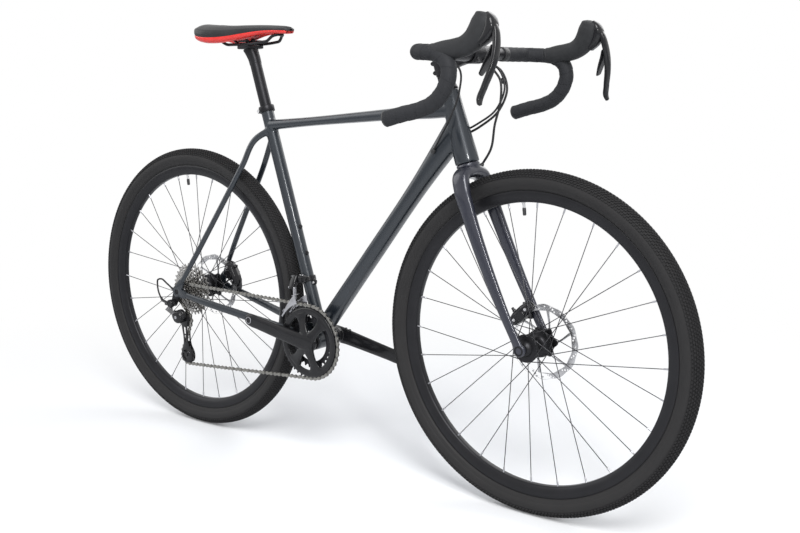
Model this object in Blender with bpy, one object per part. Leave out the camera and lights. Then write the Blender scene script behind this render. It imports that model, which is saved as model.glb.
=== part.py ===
# Cyclocross bike, metres, +Z up, +X forward, drive side at -Y.
# The origin is on the ground, midway between the wheel axles.
import math

import bmesh
import bpy
from mathutils import Matrix, Vector

# Wheels and tyres
WHEELBASE = 1.000
BEAD_SEAT = 0.311
RIM_FLANGE = 0.0055
RIM_DEPTH = 0.024
RIM_WIDTH = 0.026
TYRE_RADIUS = 0.359
TYRE_WIDTH = 0.046
WHEEL_STEPS = 40
SPOKES = 28
SPOKE_RADIUS = 0.0009
FLANGE_RADIUS = 0.0265
FRONT_SPACING = 0.100
REAR_SPACING = 0.142
AXLE_RADIUS = 0.006
ROTOR_RADIUS = 0.080
ROTOR_THICKNESS = 0.0018
ROTOR_INSET = 0.0155
# Frame geometry
BB_DROP = 0.0715
CHAINSTAY = 0.4325
SEAT_ANGLE = math.radians(72.4)
HEAD_ANGLE = math.radians(72.0)
RAKE = 0.047
FORK_LENGTH = 0.394
HEAD_TUBE = 0.157
LOWER_STACK = 0.004
SEAT_TUBE = 0.565
SEAT_TUBE_RADIUS = 0.0150
SEATPOST_RADIUS = 0.0136
SEATPOST_EXPOSED = 0.125
SEATPOST_INSERT = 0.140
HEAD_TOP_RADIUS = 0.0205
HEAD_LOW_RADIUS = 0.0255
SHELL_RADIUS = 0.0215
SHELL_WIDTH = 0.068
SIDES = 12
# Drivetrain
PITCH = 0.0127
OUTER_TEETH = 43
INNER_TEETH = 30
PULLEY_TEETH = 11
COGS = (11, 12, 13, 14, 16, 18, 20, 22, 25, 28, 32)
COG_STEP = 0.0037
COG_WIDTH = 0.0016
SMALL_COG_INSET = 0.0085
FREEHUB_RADIUS = 0.0162
CHAINLINE = 0.0475
RING_GAP = 0.0065
CRANK_LENGTH = 0.175
CRANK_ANGLE = math.radians(169.0)
PEDAL_OFFSET = 0.075
ROLLER_HALF = 0.0018
# Cockpit and saddle
STEM_LENGTH = 0.080
STEM_HEIGHT = 0.052
BAR_RADIUS = 0.0159
GRIP_RADIUS = 0.0155
GRIP_CORE = 0.0119
SADDLE_LENGTH = 0.274
SADDLE_TOP = 1.0215
# Clearance between touching pieces
GAP = 0.0003

# Points worked out from the sizes above
REAR_AXLE = Vector((-WHEELBASE / 2, 0, TYRE_RADIUS))
FRONT_AXLE = Vector((WHEELBASE / 2, 0, TYRE_RADIUS))
BB = REAR_AXLE + Vector((math.sqrt(CHAINSTAY**2 - BB_DROP**2), 0, -BB_DROP))
SEAT_UP = Vector((-math.cos(SEAT_ANGLE), 0, math.sin(SEAT_ANGLE)))
HEAD_UP = Vector((-math.cos(HEAD_ANGLE), 0, math.sin(HEAD_ANGLE)))
HEAD_FORWARD = Vector((math.sin(HEAD_ANGLE), 0, math.cos(HEAD_ANGLE)))
CROWN_SEAT = FRONT_AXLE - HEAD_FORWARD * RAKE + HEAD_UP * math.sqrt(FORK_LENGTH**2 - RAKE**2)
HEAD_LOW = CROWN_SEAT + HEAD_UP * LOWER_STACK
HEAD_TOP = HEAD_LOW + HEAD_UP * HEAD_TUBE
SEAT_TOP = BB + SEAT_UP * SEAT_TUBE
POST_TOP = SEAT_TOP + SEAT_UP * SEATPOST_EXPOSED
BAR_CENTRE = HEAD_TOP + HEAD_UP * STEM_HEIGHT + HEAD_FORWARD * STEM_LENGTH
COG_Y = -(REAR_SPACING / 2 - SMALL_COG_INSET)

X_AXIS = Vector((1, 0, 0))
Y_AXIS = Vector((0, 1, 0))
Z_AXIS = Vector((0, 0, 1))


def clear_scene():
    for item in list(bpy.data.objects):
        bpy.data.objects.remove(item)


def material(name, colour, roughness, metallic):
    made = bpy.data.materials.get(name)
    if made:
        return made
    made = bpy.data.materials.new(name)
    made.use_nodes = True
    shader = made.node_tree.nodes["Principled BSDF"]
    shader.inputs["Base Color"].default_value = (*colour, 1)
    shader.inputs["Roughness"].default_value = roughness
    shader.inputs["Metallic"].default_value = metallic
    return made


def slate_paint():
    return material("slate_paint", (0.075, 0.088, 0.105), 0.32, 0.25)


def black_alloy():
    return material("black_alloy", (0.018, 0.018, 0.020), 0.42, 0.6)


def black_gloss():
    return material("black_gloss", (0.012, 0.012, 0.014), 0.2, 0.1)


def black_rubber():
    return material("black_rubber", (0.028, 0.028, 0.030), 0.75, 0.0)


def steel():
    return material("steel", (0.55, 0.55, 0.56), 0.3, 1.0)


def red_shell():
    return material("red_shell", (0.62, 0.035, 0.03), 0.35, 0.0)


def place(name, form, finish, pivot=None):
    """Turn a bmesh in world coordinates into a named object whose origin is the pivot."""
    pivot = Vector(pivot) if pivot is not None else Vector((0, 0, 0))
    bmesh.ops.recalc_face_normals(form, faces=form.faces)
    bmesh.ops.translate(form, verts=form.verts, vec=-pivot)
    mesh = bpy.data.meshes.new(name)
    form.to_mesh(mesh)
    form.free()
    mesh.materials.append(finish)
    mesh.shade_smooth()
    mesh.set_sharp_from_angle(angle=math.radians(32))
    made = bpy.data.objects.new(name, mesh)
    made.location = pivot
    bpy.context.scene.collection.objects.link(made)
    return made


def hold(name, pivot):
    """An empty on a joint's axis, to which the pieces of a moving body are parented."""
    made = bpy.data.objects.new(name, None)
    made.location = pivot
    made.empty_display_size = 0.03
    bpy.context.scene.collection.objects.link(made)
    return made


def attach(parent, *children):
    bpy.context.view_layer.update()
    for child in children:
        child.parent = parent
        child.matrix_parent_inverse = parent.matrix_world.inverted()


def combine(base, tools, operation="UNION", crossing=False):
    """Union or difference of bmeshes; crossing is for operands that cut themselves."""
    solids = []
    for form in (base, *tools):
        bmesh.ops.recalc_face_normals(form, faces=form.faces)
        mesh = bpy.data.meshes.new("operand")
        form.to_mesh(mesh)
        form.free()
        solid = bpy.data.objects.new("operand", mesh)
        solid.hide_render = True
        solid.display_type = "WIRE"
        bpy.context.scene.collection.objects.link(solid)
        solids.append(solid)
    for tool in solids[1:]:
        step = solids[0].modifiers.new("combine", "BOOLEAN")
        step.operation = operation
        step.solver = "EXACT"
        step.use_self = crossing
        step.object = tool
    bpy.context.view_layer.update()
    result = bmesh.new()
    result.from_object(solids[0], bpy.context.evaluated_depsgraph_get())
    for solid in solids:
        mesh = solid.data
        bpy.data.objects.remove(solid)
        bpy.data.meshes.remove(mesh)
    bmesh.ops.remove_doubles(result, verts=result.verts, dist=1e-7)
    return result


def ring(centre, across, up, half_across, half_up, sides, power=2.0):
    """Points round a superellipse; power 2 is an ellipse, more is squarer."""
    points = []
    for index in range(sides):
        angle = 2 * math.pi * (index + 0.5) / sides
        cosine, sine = math.cos(angle), math.sin(angle)
        x = math.copysign(abs(cosine) ** (2 / power), cosine) * half_across
        y = math.copysign(abs(sine) ** (2 / power), sine) * half_up
        points.append(centre + across * x + up * y)
    return points


def absorb(form, other):
    """Add another bmesh's faces to a form as a further body."""
    mesh = bpy.data.meshes.new("extra")
    other.to_mesh(mesh)
    form.from_mesh(mesh)
    bpy.data.meshes.remove(mesh)
    other.free()


def loft(rings, loop=False):
    """A skin through rings of equally many points, capped at both ends unless it is a loop."""
    form = bmesh.new()
    rows = [[form.verts.new(point) for point in points] for points in rings]
    pairs = list(zip(rows, rows[1:]))
    if loop:
        pairs.append((rows[-1], rows[0]))
    for first, second in pairs:
        for index in range(len(first)):
            following = (index + 1) % len(first)
            form.faces.new((first[index], first[following], second[following], second[index]))
    if not loop:
        form.faces.new(rows[0])
        form.faces.new(rows[-1])
    bmesh.ops.recalc_face_normals(form, faces=form.faces)
    return form


def smooth_path(points, count):
    """Evenly spread points on a Catmull-Rom curve through the given points."""
    points = [Vector(point) for point in points]
    padded = [points[0] * 2 - points[1], *points, points[-1] * 2 - points[-2]]
    dense = []
    for index in range(len(points) - 1):
        a, b, c, d = padded[index:index + 4]
        for step in range(24):
            t = step / 24
            dense.append(0.5 * (2 * b + (c - a) * t + (2 * a - 5 * b + 4 * c - d) * t * t
                                + (3 * b - a - 3 * c + d) * t**3))
    dense.append(points[-1])
    lengths = [0.0]
    for first, second in zip(dense, dense[1:]):
        lengths.append(lengths[-1] + (second - first).length)
    result = []
    position = 0
    for index in range(count):
        target = lengths[-1] * index / (count - 1)
        while position < len(dense) - 2 and lengths[position + 1] < target:
            position += 1
        span = lengths[position + 1] - lengths[position]
        share = (target - lengths[position]) / span if span else 0
        result.append(dense[position].lerp(dense[position + 1], min(max(share, 0), 1)))
    return result


def sweep(path, sizes, sides, side_hint=Y_AXIS, power=2.0):
    """A tube along a path; sizes gives each point's half width (along the hint) and half height."""
    rings = []
    for index, point in enumerate(path):
        before = path[max(index - 1, 0)]
        after = path[min(index + 1, len(path) - 1)]
        forward = (after - before).normalized()
        up = forward.cross(side_hint).normalized()
        across = up.cross(forward).normalized()
        half_across, half_up = sizes[index]
        rings.append(ring(point, across, up, half_across, half_up, sides, power))
    return loft(rings)


def taper(start, end, start_size, end_size, rows, sides, **options):
    """A straight tube whose section changes evenly from one end to the other."""
    path = [start.lerp(end, index / (rows - 1)) for index in range(rows)]
    sizes = []
    for index in range(rows):
        share = index / (rows - 1)
        sizes.append(tuple(a + (b - a) * share for a, b in zip(start_size, end_size)))
    return sweep(path, sizes, sides, **options)


def lathe(profile, centre, axis, steps):
    """Turn (radius, height) points about an axis; ends at radius 0 close into a point."""
    axis = axis.normalized()
    first = axis.orthogonal().normalized()
    second = axis.cross(first)
    form = bmesh.new()
    rows = []
    for radius, height in profile:
        middle = centre + axis * height
        if radius == 0:
            rows.append([form.verts.new(middle)])
            continue
        row = []
        for index in range(steps):
            angle = 2 * math.pi * index / steps
            row.append(form.verts.new(middle + (first * math.cos(angle) + second * math.sin(angle)) * radius))
        rows.append(row)
    pairs = list(zip(rows, rows[1:]))
    if len(rows[0]) > 1 and len(rows[-1]) > 1:
        pairs.append((rows[-1], rows[0]))
    for first_row, second_row in pairs:
        for index in range(steps):
            following = (index + 1) % steps
            corners = [first_row[index % len(first_row)], first_row[following % len(first_row)],
                       second_row[following % len(second_row)], second_row[index % len(second_row)]]
            unique = list(dict.fromkeys(corners))
            if len(unique) > 2:
                form.faces.new(unique)
    bmesh.ops.recalc_face_normals(form, faces=form.faces)
    return form


def clear(radius, sides):
    """Corner radius of a bore with flat facets that clears a round piece of this radius."""
    return (radius + GAP) / math.cos(math.pi / sides)


def rod(start, end, radius, sides=8):
    length = (end - start).length
    return lathe([(0, 0), (radius, 0), (radius, length), (0, length)], start, end - start, sides)


def sleeve(start, end, outer, inner, sides=16):
    """A round tube with its bore."""
    length = (end - start).length
    return lathe([(outer, 0), (outer, length), (inner, length), (inner, 0)], start, end - start, sides)


def plate(outline, holes, low, high, place_point):
    """A flat plate with holes; place_point maps (x, y, height) to a world point."""
    form = bmesh.new()
    for loop in (outline, *holes):
        corners = [form.verts.new(place_point(x, y, low)) for x, y in loop]
        for index, corner in enumerate(corners):
            form.edges.new((corner, corners[(index + 1) % len(corners)]))
    bmesh.ops.triangle_fill(form, use_beauty=True, use_dissolve=False, edges=form.edges)
    lid = bmesh.ops.extrude_face_region(form, geom=form.faces[:])
    moved = [item for item in lid["geom"] if isinstance(item, bmesh.types.BMVert)]
    bmesh.ops.translate(form, verts=moved, vec=place_point(0, 0, high) - place_point(0, 0, low))
    bmesh.ops.recalc_face_normals(form, faces=form.faces)
    return form


def side_plane(centre, turn=0.0):
    """Maps plate coordinates to the bike's side view about a centre, heights running along +Y."""
    cosine, sine = math.cos(turn), math.sin(turn)

    def point(x, y, height):
        return Vector((centre.x + x * cosine - y * sine, height, centre.z + x * sine + y * cosine))
    return point


def circle(radius, count, centre=(0, 0), start=0.0):
    points = []
    for index in range(count):
        angle = start + 2 * math.pi * index / count
        points.append((centre[0] + radius * math.cos(angle), centre[1] + radius * math.sin(angle)))
    return points


def capsule(ends, radii, count=5):
    """The outline round two circles joined by their tangents, in side-view coordinates."""
    (ax, ay), (bx, by) = ends
    heading = math.atan2(by - ay, bx - ax)
    lean = math.asin((radii[0] - radii[1]) / math.hypot(bx - ax, by - ay))
    points = []
    for (x, y), radius, start, stop in (
            ((bx, by), radii[1], -math.pi / 2 + lean, math.pi / 2 - lean),
            ((ax, ay), radii[0], math.pi / 2 - lean, 3 * math.pi / 2 + lean)):
        for index in range(count):
            angle = heading + start + (stop - start) * index / (count - 1)
            points.append((x + radius * math.cos(angle), y + radius * math.sin(angle)))
    return points


# Wheels

FRONT_FLANGES = (-0.032, 0.021)
REAR_FLANGES = (-0.0185, 0.033)
FRONT_ROTOR_INSET = 0.0105
HUB_RADIUS = 0.0115
HUB_END_RADIUS = 0.0095
FLANGE_WIDTH = 0.0032
CROSSES = 3
VALVE_RADIUS = 0.0030
VALVE_LENGTH = 0.042
RIM_WALL = 0.0018
ROTOR_BAND = 0.0145
ROTOR_WAVE = 0.0012
ROTOR_WAVES = 12
CARRIER_ARMS = 6


def tyre(name, axle):
    wide = TYRE_WIDTH / 2
    seat = RIM_WIDTH / 2 - RIM_WALL - GAP
    rim_top = BEAD_SEAT + RIM_FLANGE
    tall = TYRE_RADIUS - rim_top
    half = [(BEAD_SEAT + GAP * 2, seat), (rim_top + GAP * 4, seat), (rim_top + tall * 0.26, wide * 0.90),
            (rim_top + tall * 0.62, wide * 0.98), (TYRE_RADIUS, wide * 0.42)]
    profile = half + [(radius, -height) for radius, height in reversed(half)]
    return place(name, lathe(profile, axle, Y_AXIS, WHEEL_STEPS), black_rubber(), axle)


def rim(name, axle, valve_angle):
    wide = RIM_WIDTH / 2
    inner = BEAD_SEAT + RIM_FLANGE - RIM_DEPTH
    half = [(inner, 0.0065), (inner + RIM_DEPTH * 0.5, wide), (BEAD_SEAT + RIM_FLANGE, wide),
            (BEAD_SEAT, wide - RIM_WALL)]
    profile = half + [(radius, -height) for radius, height in reversed(half)]
    form = lathe(profile, axle, Y_AXIS, WHEEL_STEPS)
    return place(name, combine(form, [valve(axle, valve_angle)]), black_alloy(), axle)


def valve(axle, valve_angle):
    out = Vector((math.cos(valve_angle), 0, math.sin(valve_angle)))
    cap = VALVE_RADIUS + 0.0012
    profile = [(0, 0), (VALVE_RADIUS, 0), (VALVE_RADIUS, VALVE_LENGTH * 0.64), (cap, VALVE_LENGTH * 0.66),
               (cap, VALVE_LENGTH * 0.96), (0, VALVE_LENGTH)]
    return lathe(profile, axle + out * (BEAD_SEAT - 0.0035), -out, 6)


def hub(name, axle, flanges, ends):
    """Hub shell with its laced spokes, bored for the axle."""
    bore = AXLE_RADIUS + GAP
    low, high = flanges
    half = FLANGE_WIDTH / 2
    lip = FLANGE_RADIUS + 0.0025
    profile = [(bore, ends[0]), (HUB_END_RADIUS, ends[0]), (HUB_END_RADIUS, low - half - 0.003), (lip, low - half),
               (lip, low + half), (HUB_RADIUS, low + 0.009), (HUB_RADIUS, high - 0.009), (lip, high - half),
               (lip, high + half), (HUB_END_RADIUS, high + half + 0.003), (HUB_END_RADIUS, ends[1]),
               (bore, ends[1])]
    shell = lathe(profile, axle, Y_AXIS, 12)
    spokes = bmesh.new()
    per_side = SPOKES // 2
    rim_inner = BEAD_SEAT + RIM_FLANGE - RIM_DEPTH
    for index in range(SPOKES):
        side = index % 2
        number = index // 2
        rim_angle = 2 * math.pi * index / SPOKES
        lead = CROSSES * 2 * math.pi / per_side
        hub_angle = rim_angle + (lead if number % 2 else -lead)
        face = flanges[side] + (half if number % 2 else -half)
        start = axle + Vector((math.cos(hub_angle) * FLANGE_RADIUS, face, math.sin(hub_angle) * FLANGE_RADIUS))
        reach = rim_inner - 0.0012
        end = axle + Vector((math.cos(rim_angle) * reach, math.copysign(0.002, flanges[side]),
                             math.sin(rim_angle) * reach))
        size = (SPOKE_RADIUS, SPOKE_RADIUS)
        absorb(spokes, taper(start, end, size, size, 2, 3))
    return place(name, combine(shell, [spokes], crossing=True), black_alloy(), axle)


def rotor(name, axle, height):
    """Braking band with a waved edge and slots, on slanting arms from the hub."""
    outline = []
    count = ROTOR_WAVES * 3
    inner = ROTOR_RADIUS - ROTOR_BAND
    for index in range(count):
        angle = 2 * math.pi * index / count
        reach = ROTOR_RADIUS - ROTOR_WAVE * (1 - math.cos(angle * ROTOR_WAVES))
        outline.append((reach * math.cos(angle), reach * math.sin(angle)))
    middle = (inner + ROTOR_RADIUS) / 2
    holes = [circle(HUB_END_RADIUS + GAP, 14)]
    for index in range(ROTOR_WAVES):
        turn = 2 * math.pi * (index + 0.5) / ROTOR_WAVES
        holes.append([((middle + step) * math.cos(turn + shift), (middle + step) * math.sin(turn + shift))
                      for shift, step in ((-0.09, 0), (0, -0.0024), (0.09, 0), (0, 0.0024))])
    for index in range(CARRIER_ARMS):
        turn = 2 * math.pi * index / CARRIER_ARMS
        corners = ((0.0215, 0.10), (0.0215, 0.42), (0.045, 0.70), (inner, 0.94), (inner, 0.60), (inner, 0.10),
                   (0.045, 0.02))
        holes.append([(reach * math.cos(turn + shift), reach * math.sin(turn + shift))
                      for reach, shift in corners])
    half = ROTOR_THICKNESS / 2
    return place(name, plate(outline, holes, height - half, height + half, side_plane(axle)), steel(),
                 axle + Y_AXIS * height)


def through_axle(name, axle, low, high):
    """Axle with a low round head on the left side."""
    head = AXLE_RADIUS + 0.003
    profile = [(0, low), (AXLE_RADIUS, low), (AXLE_RADIUS, high), (head, high), (head, high + 0.005),
               (0, high + 0.005)]
    return place(name, lathe(profile, axle, Y_AXIS, 12), black_alloy(), axle)


# Drivetrain

TOOTH_ROOT = 0.00445
TOOTH_TIP = 0.0032
PLATE_HALF_HEIGHT = 0.0041
INNER_PLATE = 0.0012
OUTER_PLATE = 0.0018
PLATE_WALL = 0.0008
RING_THICKNESS = 0.0018
SPIDER_ARMS = tuple(math.radians(angle) for angle in (-120, -60, 60, 120))
BOLT_CIRCLE = 0.055
CAGE_PIVOT = Vector((-0.492, -0.0625, 0.2960))
GUIDE_REACH = 0.0105
GUIDE_ANGLE = math.radians(-55)
TENSION_REACH = 0.101
TENSION_ANGLE = math.radians(-80)


def pitch_radius(teeth):
    return PITCH / (2 * math.sin(math.pi / teeth))


def toothed(teeth, phase, engaged=True):
    """Outline of a sprocket whose roller seats lie at the phase angle; coarse where no chain runs."""
    radius = pitch_radius(teeth)
    root, tip = radius - TOOTH_ROOT, radius + TOOTH_TIP
    step = 2 * math.pi / teeth
    if engaged:
        foot = step / 2 - 0.0022 / root
        corners = ((root, -foot), (tip, 0), (root, foot))
    else:
        corners = ((root, -step / 2), (tip, 0))
    points = []
    for index in range(teeth):
        middle = phase + (index + 0.5) * step
        for reach, shift in corners:
            points.append((reach * math.cos(middle + shift), reach * math.sin(middle + shift)))
    return points


def tangent(first, second):
    """Straight run between two turns, each (centre x, centre z, radius, +1 or -1 for its sense)."""
    across = second[3] * second[2] - first[3] * first[2]
    run_x, run_z = second[0] - first[0], second[1] - first[1]
    heading = math.atan2(run_z, run_x) - math.asin(across / math.hypot(run_x, run_z))
    left = (-math.sin(heading), math.cos(heading))
    start = (first[0] - left[0] * first[3] * first[2], first[1] - left[1] * first[3] * first[2])
    end = (second[0] - left[0] * second[3] * second[2], second[1] - left[1] * second[3] * second[2])
    return start, end, heading


def chain_turns(cage_turn):
    """Chainring, tension pulley, guide pulley and small cog in the order the chain meets them."""
    guide = pulley_centre(GUIDE_REACH, GUIDE_ANGLE, 0)
    tension = pulley_centre(TENSION_REACH, TENSION_ANGLE, cage_turn)
    return [(BB.x, BB.z, pitch_radius(OUTER_TEETH), -1, OUTER_TEETH, -CHAINLINE),
            (tension.x, tension.z, pitch_radius(PULLEY_TEETH), -1, PULLEY_TEETH, COG_Y),
            (guide.x, guide.z, pitch_radius(PULLEY_TEETH), 1, PULLEY_TEETH, COG_Y),
            (REAR_AXLE.x, REAR_AXLE.z, pitch_radius(COGS[0]), -1, COGS[0], COG_Y)]


def pulley_centre(reach, angle, turn):
    return Vector((CAGE_PIVOT.x + reach * math.cos(angle + turn), COG_Y,
                   CAGE_PIVOT.z + reach * math.sin(angle + turn)))


def chain_pieces(cage_turn):
    """The chain's path as runs and turns, each with its length counted in links."""
    turns = chain_turns(cage_turn)
    runs = [tangent(turns[index], turns[(index + 1) % 4]) for index in range(4)]
    pieces = []
    for index, turn in enumerate(turns):
        arrival, departure = runs[index - 1][2], runs[index][2]
        sweep_angle = (departure - arrival) * turn[3] % (2 * math.pi)
        pieces.append(("turn", turn, arrival, sweep_angle * turn[4] / (2 * math.pi)))
        start, end, heading = runs[index]
        following = turns[(index + 1) % 4]
        length = math.hypot(end[0] - start[0], end[1] - start[1])
        pieces.append(("run", (start, heading, turn[5], following[5]), length, length / PITCH))
    return pieces


def fit_chain():
    """Swing the tension pulley until the loop holds a whole, even number of links."""
    def links(turn):
        return sum(piece[3] for piece in chain_pieces(turn))
    wanted = 2 * round(links(0) / 2)
    low, high = math.radians(-35), math.radians(35)
    for _ in range(60):
        middle = (low + high) / 2
        if (links(middle) - wanted) * (links(low) - wanted) > 0:
            low = middle
        else:
            high = middle
    return (low + high) / 2, wanted


CAGE_TURN, LINKS = fit_chain()


def chain_joints():
    """Each roller's centre and heading, and the angle of the first roller on every turn."""
    pieces = chain_pieces(CAGE_TURN)
    joints, phases = [], []
    position, piece_start = 0.0, 0.0
    for kind, data, size, count in pieces:
        first = math.ceil(piece_start - 1e-9)
        for number in range(first, math.ceil(piece_start + count - 1e-9)):
            along = number - piece_start
            if kind == "turn":
                heading = size + data[3] * along * 2 * math.pi / data[4]
                spot = heading - data[3] * math.pi / 2
                if number == first:
                    phases.append(spot)
                centre = Vector((data[0] + data[2] * math.cos(spot), data[5],
                                 data[1] + data[2] * math.sin(spot)))
            else:
                start, heading, from_y, to_y = data
                share = along * PITCH / size
                eased = share * share * (3 - 2 * share)
                centre = Vector((start[0] + along * PITCH * math.cos(heading), from_y + (to_y - from_y) * eased,
                                 start[1] + along * PITCH * math.sin(heading)))
            joints.append((centre, heading))
        piece_start += count
    return joints[:LINKS], phases


JOINTS, PHASES = chain_joints()


def chain():
    """Two strips of alternating outer and inner plates, joined by a roller at every joint."""
    form = bmesh.new()
    stations = []
    for index, (centre, heading) in enumerate(JOINTS):
        along = Vector((math.cos(heading), 0, math.sin(heading)))
        up = Vector((-math.sin(heading), 0, math.cos(heading)))
        pair = []
        for shift, link in ((-ROLLER_HALF, index - 1), (ROLLER_HALF, index)):
            near = OUTER_PLATE if link % 2 else INNER_PLATE
            sides = []
            for side in (-1, 1):
                middle = centre + along * shift
                sides.append([form.verts.new(middle + up * (PLATE_HALF_HEIGHT * high) + Y_AXIS * (side * reach))
                              for reach, high in ((near, 1), (near, -1), (near + PLATE_WALL, -1),
                                                  (near + PLATE_WALL, 1))])
            pair.append(sides)
        stations.append(pair)
    for index, (before, after) in enumerate(stations):
        following = stations[(index + 1) % len(stations)][0]
        for side in (0, 1):
            for corner in (1, 2, 3):
                turned = (corner + 1) % 4
                form.faces.new((before[side][corner], before[side][turned],
                                after[side][turned], after[side][corner]))
            for corner in range(4):
                turned = (corner + 1) % 4
                form.faces.new((after[side][corner], after[side][turned],
                                following[side][turned], following[side][corner]))
        loops = [[station[0], station[1], other[1], other[0]] for station, other in
                 ((before[0], after[0]), (before[1], after[1]))]
        for corner in range(4):
            turned = (corner + 1) % 4
            form.faces.new((loops[0][corner], loops[0][turned], loops[1][turned], loops[1][corner]))
    return place("chain", form, steel(), REAR_AXLE)


def annulus(form, outer, inner):
    """Fill the flat face between two closed loops of vertices."""
    edges = []
    for loop in (outer, inner):
        for index, corner in enumerate(loop):
            following = loop[(index + 1) % len(loop)]
            edges.append(form.edges.get((corner, following)) or form.edges.new((corner, following)))
    bmesh.ops.triangle_fill(form, use_beauty=True, use_dissolve=False, edges=edges)


def wall(form, first, second):
    """Join two loops of equally many vertices by a band of faces."""
    for index in range(len(first)):
        turned = (index + 1) % len(first)
        form.faces.new((first[index], first[turned], second[turned], second[index]))


def cassette():
    """Sprockets on their freehub body, with open slots between them, bored for the axle."""
    form = bmesh.new()
    bore = AXLE_RADIUS + GAP
    half = COG_WIDTH / 2
    steps = 12

    def loop(points, height):
        return [form.verts.new(REAR_AXLE + Vector((x, height, z))) for x, z in points]

    floor = loop(circle(bore, steps), COG_Y - half)
    first_floor = floor
    for index, teeth in enumerate(COGS):
        height = COG_Y + COG_STEP * index
        outline = toothed(teeth, PHASES[3] if index == 0 else 0.3 * index, index == 0)
        near, far = loop(outline, height - half), loop(outline, height + half)
        annulus(form, near, floor)
        wall(form, near, far)
        last = index == len(COGS) - 1
        slot = bore if last else max(pitch_radius(teeth) - 0.011, FREEHUB_RADIUS)
        inner = loop(circle(slot, steps), height + half)
        annulus(form, far, inner)
        if last:
            wall(form, inner, first_floor)
        else:
            floor = loop(circle(slot, steps), height + COG_STEP - half)
            wall(form, inner, floor)
    return place("cassette", form, steel(), REAR_AXLE)


def ring_hole(outer, arms, inner):
    """A chainring's inner edge with tabs that reach in to the spider arms."""
    points = []
    arms = sorted(arms)
    for index, arm in enumerate(arms):
        following = arms[(index + 1) % len(arms)] + (2 * math.pi if index == len(arms) - 1 else 0)
        for radius, shift in ((outer, -0.20), (inner, -0.12), (inner, 0.12), (outer, 0.20)):
            points.append((radius * math.cos(arm + shift), radius * math.sin(arm + shift)))
        start, stop = arm + 0.20, following - 0.20
        steps = max(2, round((stop - start) / 0.28))
        for step in range(1, steps):
            angle = start + (stop - start) * step / steps
            points.append((outer * math.cos(angle), outer * math.sin(angle)))
    return points


def outer_chainring():
    half = RING_THICKNESS / 2
    hole = ring_hole(pitch_radius(OUTER_TEETH) - 0.0150, [CRANK_ANGLE + arm for arm in SPIDER_ARMS],
                     BOLT_CIRCLE - 0.0065)
    form = plate(toothed(OUTER_TEETH, PHASES[0]), [hole], -CHAINLINE - half, -CHAINLINE + half, side_plane(BB))
    return place("outer_chainring", form, black_alloy(), BB)


def inner_chainring():
    """The smaller ring with the bosses that carry it on the larger one."""
    half = RING_THICKNESS / 2
    height = -CHAINLINE + RING_GAP
    hole = circle(BOLT_CIRCLE - 0.009, 24)
    form = plate(toothed(INNER_TEETH, 0.1, False), [hole], height - half, height + half, side_plane(BB))
    bosses = []
    for arm in SPIDER_ARMS:
        angle = CRANK_ANGLE + arm
        seat = BB + Vector((math.cos(angle), 0, math.sin(angle))) * (BOLT_CIRCLE - 0.0035)
        bosses.append(rod(seat + Y_AXIS * (-CHAINLINE + half + GAP), seat + Y_AXIS * height, 0.0050, 8))
    return place("inner_chainring", combine(form, bosses), black_alloy(), BB)


def crank_arm(side):
    """Arm with a rounded foot round the spindle and a bored pedal eye."""
    turn = CRANK_ANGLE if side < 0 else CRANK_ANGLE + math.pi
    along = Vector((math.cos(turn), 0, math.sin(turn)))
    up = Vector((-math.sin(turn), 0, math.cos(turn)))
    stations = ((-0.0185, 0.009, 0.0060), (-0.012, 0.017, 0.0070), (0.0, 0.0200, 0.0075), (0.028, 0.0170, 0.0075),
                (0.080, 0.0140, 0.0068), (CRANK_LENGTH - 0.014, 0.0130, 0.0062), (CRANK_LENGTH, 0.0130, 0.0062),
                (CRANK_LENGTH + 0.009, 0.0100, 0.0062), (CRANK_LENGTH + 0.0130, 0.0045, 0.0058))
    rings = []
    for reach, tall, thick in stations:
        share = min(max(reach / CRANK_LENGTH, 0), 1)
        outset = side * (CRANK_ROOT + (PEDAL_OFFSET - 0.0065 - CRANK_ROOT) * share**0.8)
        rings.append(ring(BB + along * reach + Y_AXIS * outset, up, Y_AXIS, tall, thick, 12, 2.8))
    form = loft(rings)
    eye = BB + along * CRANK_LENGTH
    bore = rod(eye + Y_AXIS * (side * 0.055), eye + Y_AXIS * (side * 0.085), PEDAL_BORE, 16)
    return combine(form, [bore], "DIFFERENCE")


CRANK_ROOT = 0.0580
PEDAL_BORE = 0.0069
SPINDLE_RADIUS = 0.0120


def right_crank():
    """Arm and four-armed spider in one piece."""
    outline = []
    for arm in SPIDER_ARMS:
        turn = CRANK_ANGLE + arm
        for radius, shift in ((0.024, -0.45), (BOLT_CIRCLE + 0.004, -0.125), (BOLT_CIRCLE + 0.0065, 0),
                              (BOLT_CIRCLE + 0.004, 0.125), (0.024, 0.45)):
            outline.append((radius * math.cos(turn + shift), radius * math.sin(turn + shift)))
    outer = -CHAINLINE - RING_THICKNESS / 2 - GAP
    hub_hole = circle(0.006, 8)
    spider = plate(outline, [hub_hole], outer - 0.0050, outer, side_plane(BB))
    spindle = rod(BB - Y_AXIS * 0.0525, BB + Y_AXIS * (CRANK_ROOT - 0.0075 - GAP), SPINDLE_RADIUS, 14)
    return place("right_crank", combine(crank_arm(-1), [spider, spindle]), black_gloss(), BB)


def left_crank():
    return place("left_crank", crank_arm(1), black_gloss(), BB)


def pulley(name, centre, phase):
    half = 0.0010
    form = plate(toothed(PULLEY_TEETH, phase), [circle(0.0033, 8)], COG_Y - half, COG_Y + half,
                 side_plane(centre))
    return place(name, form, black_alloy(), centre)


# Frame

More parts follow.
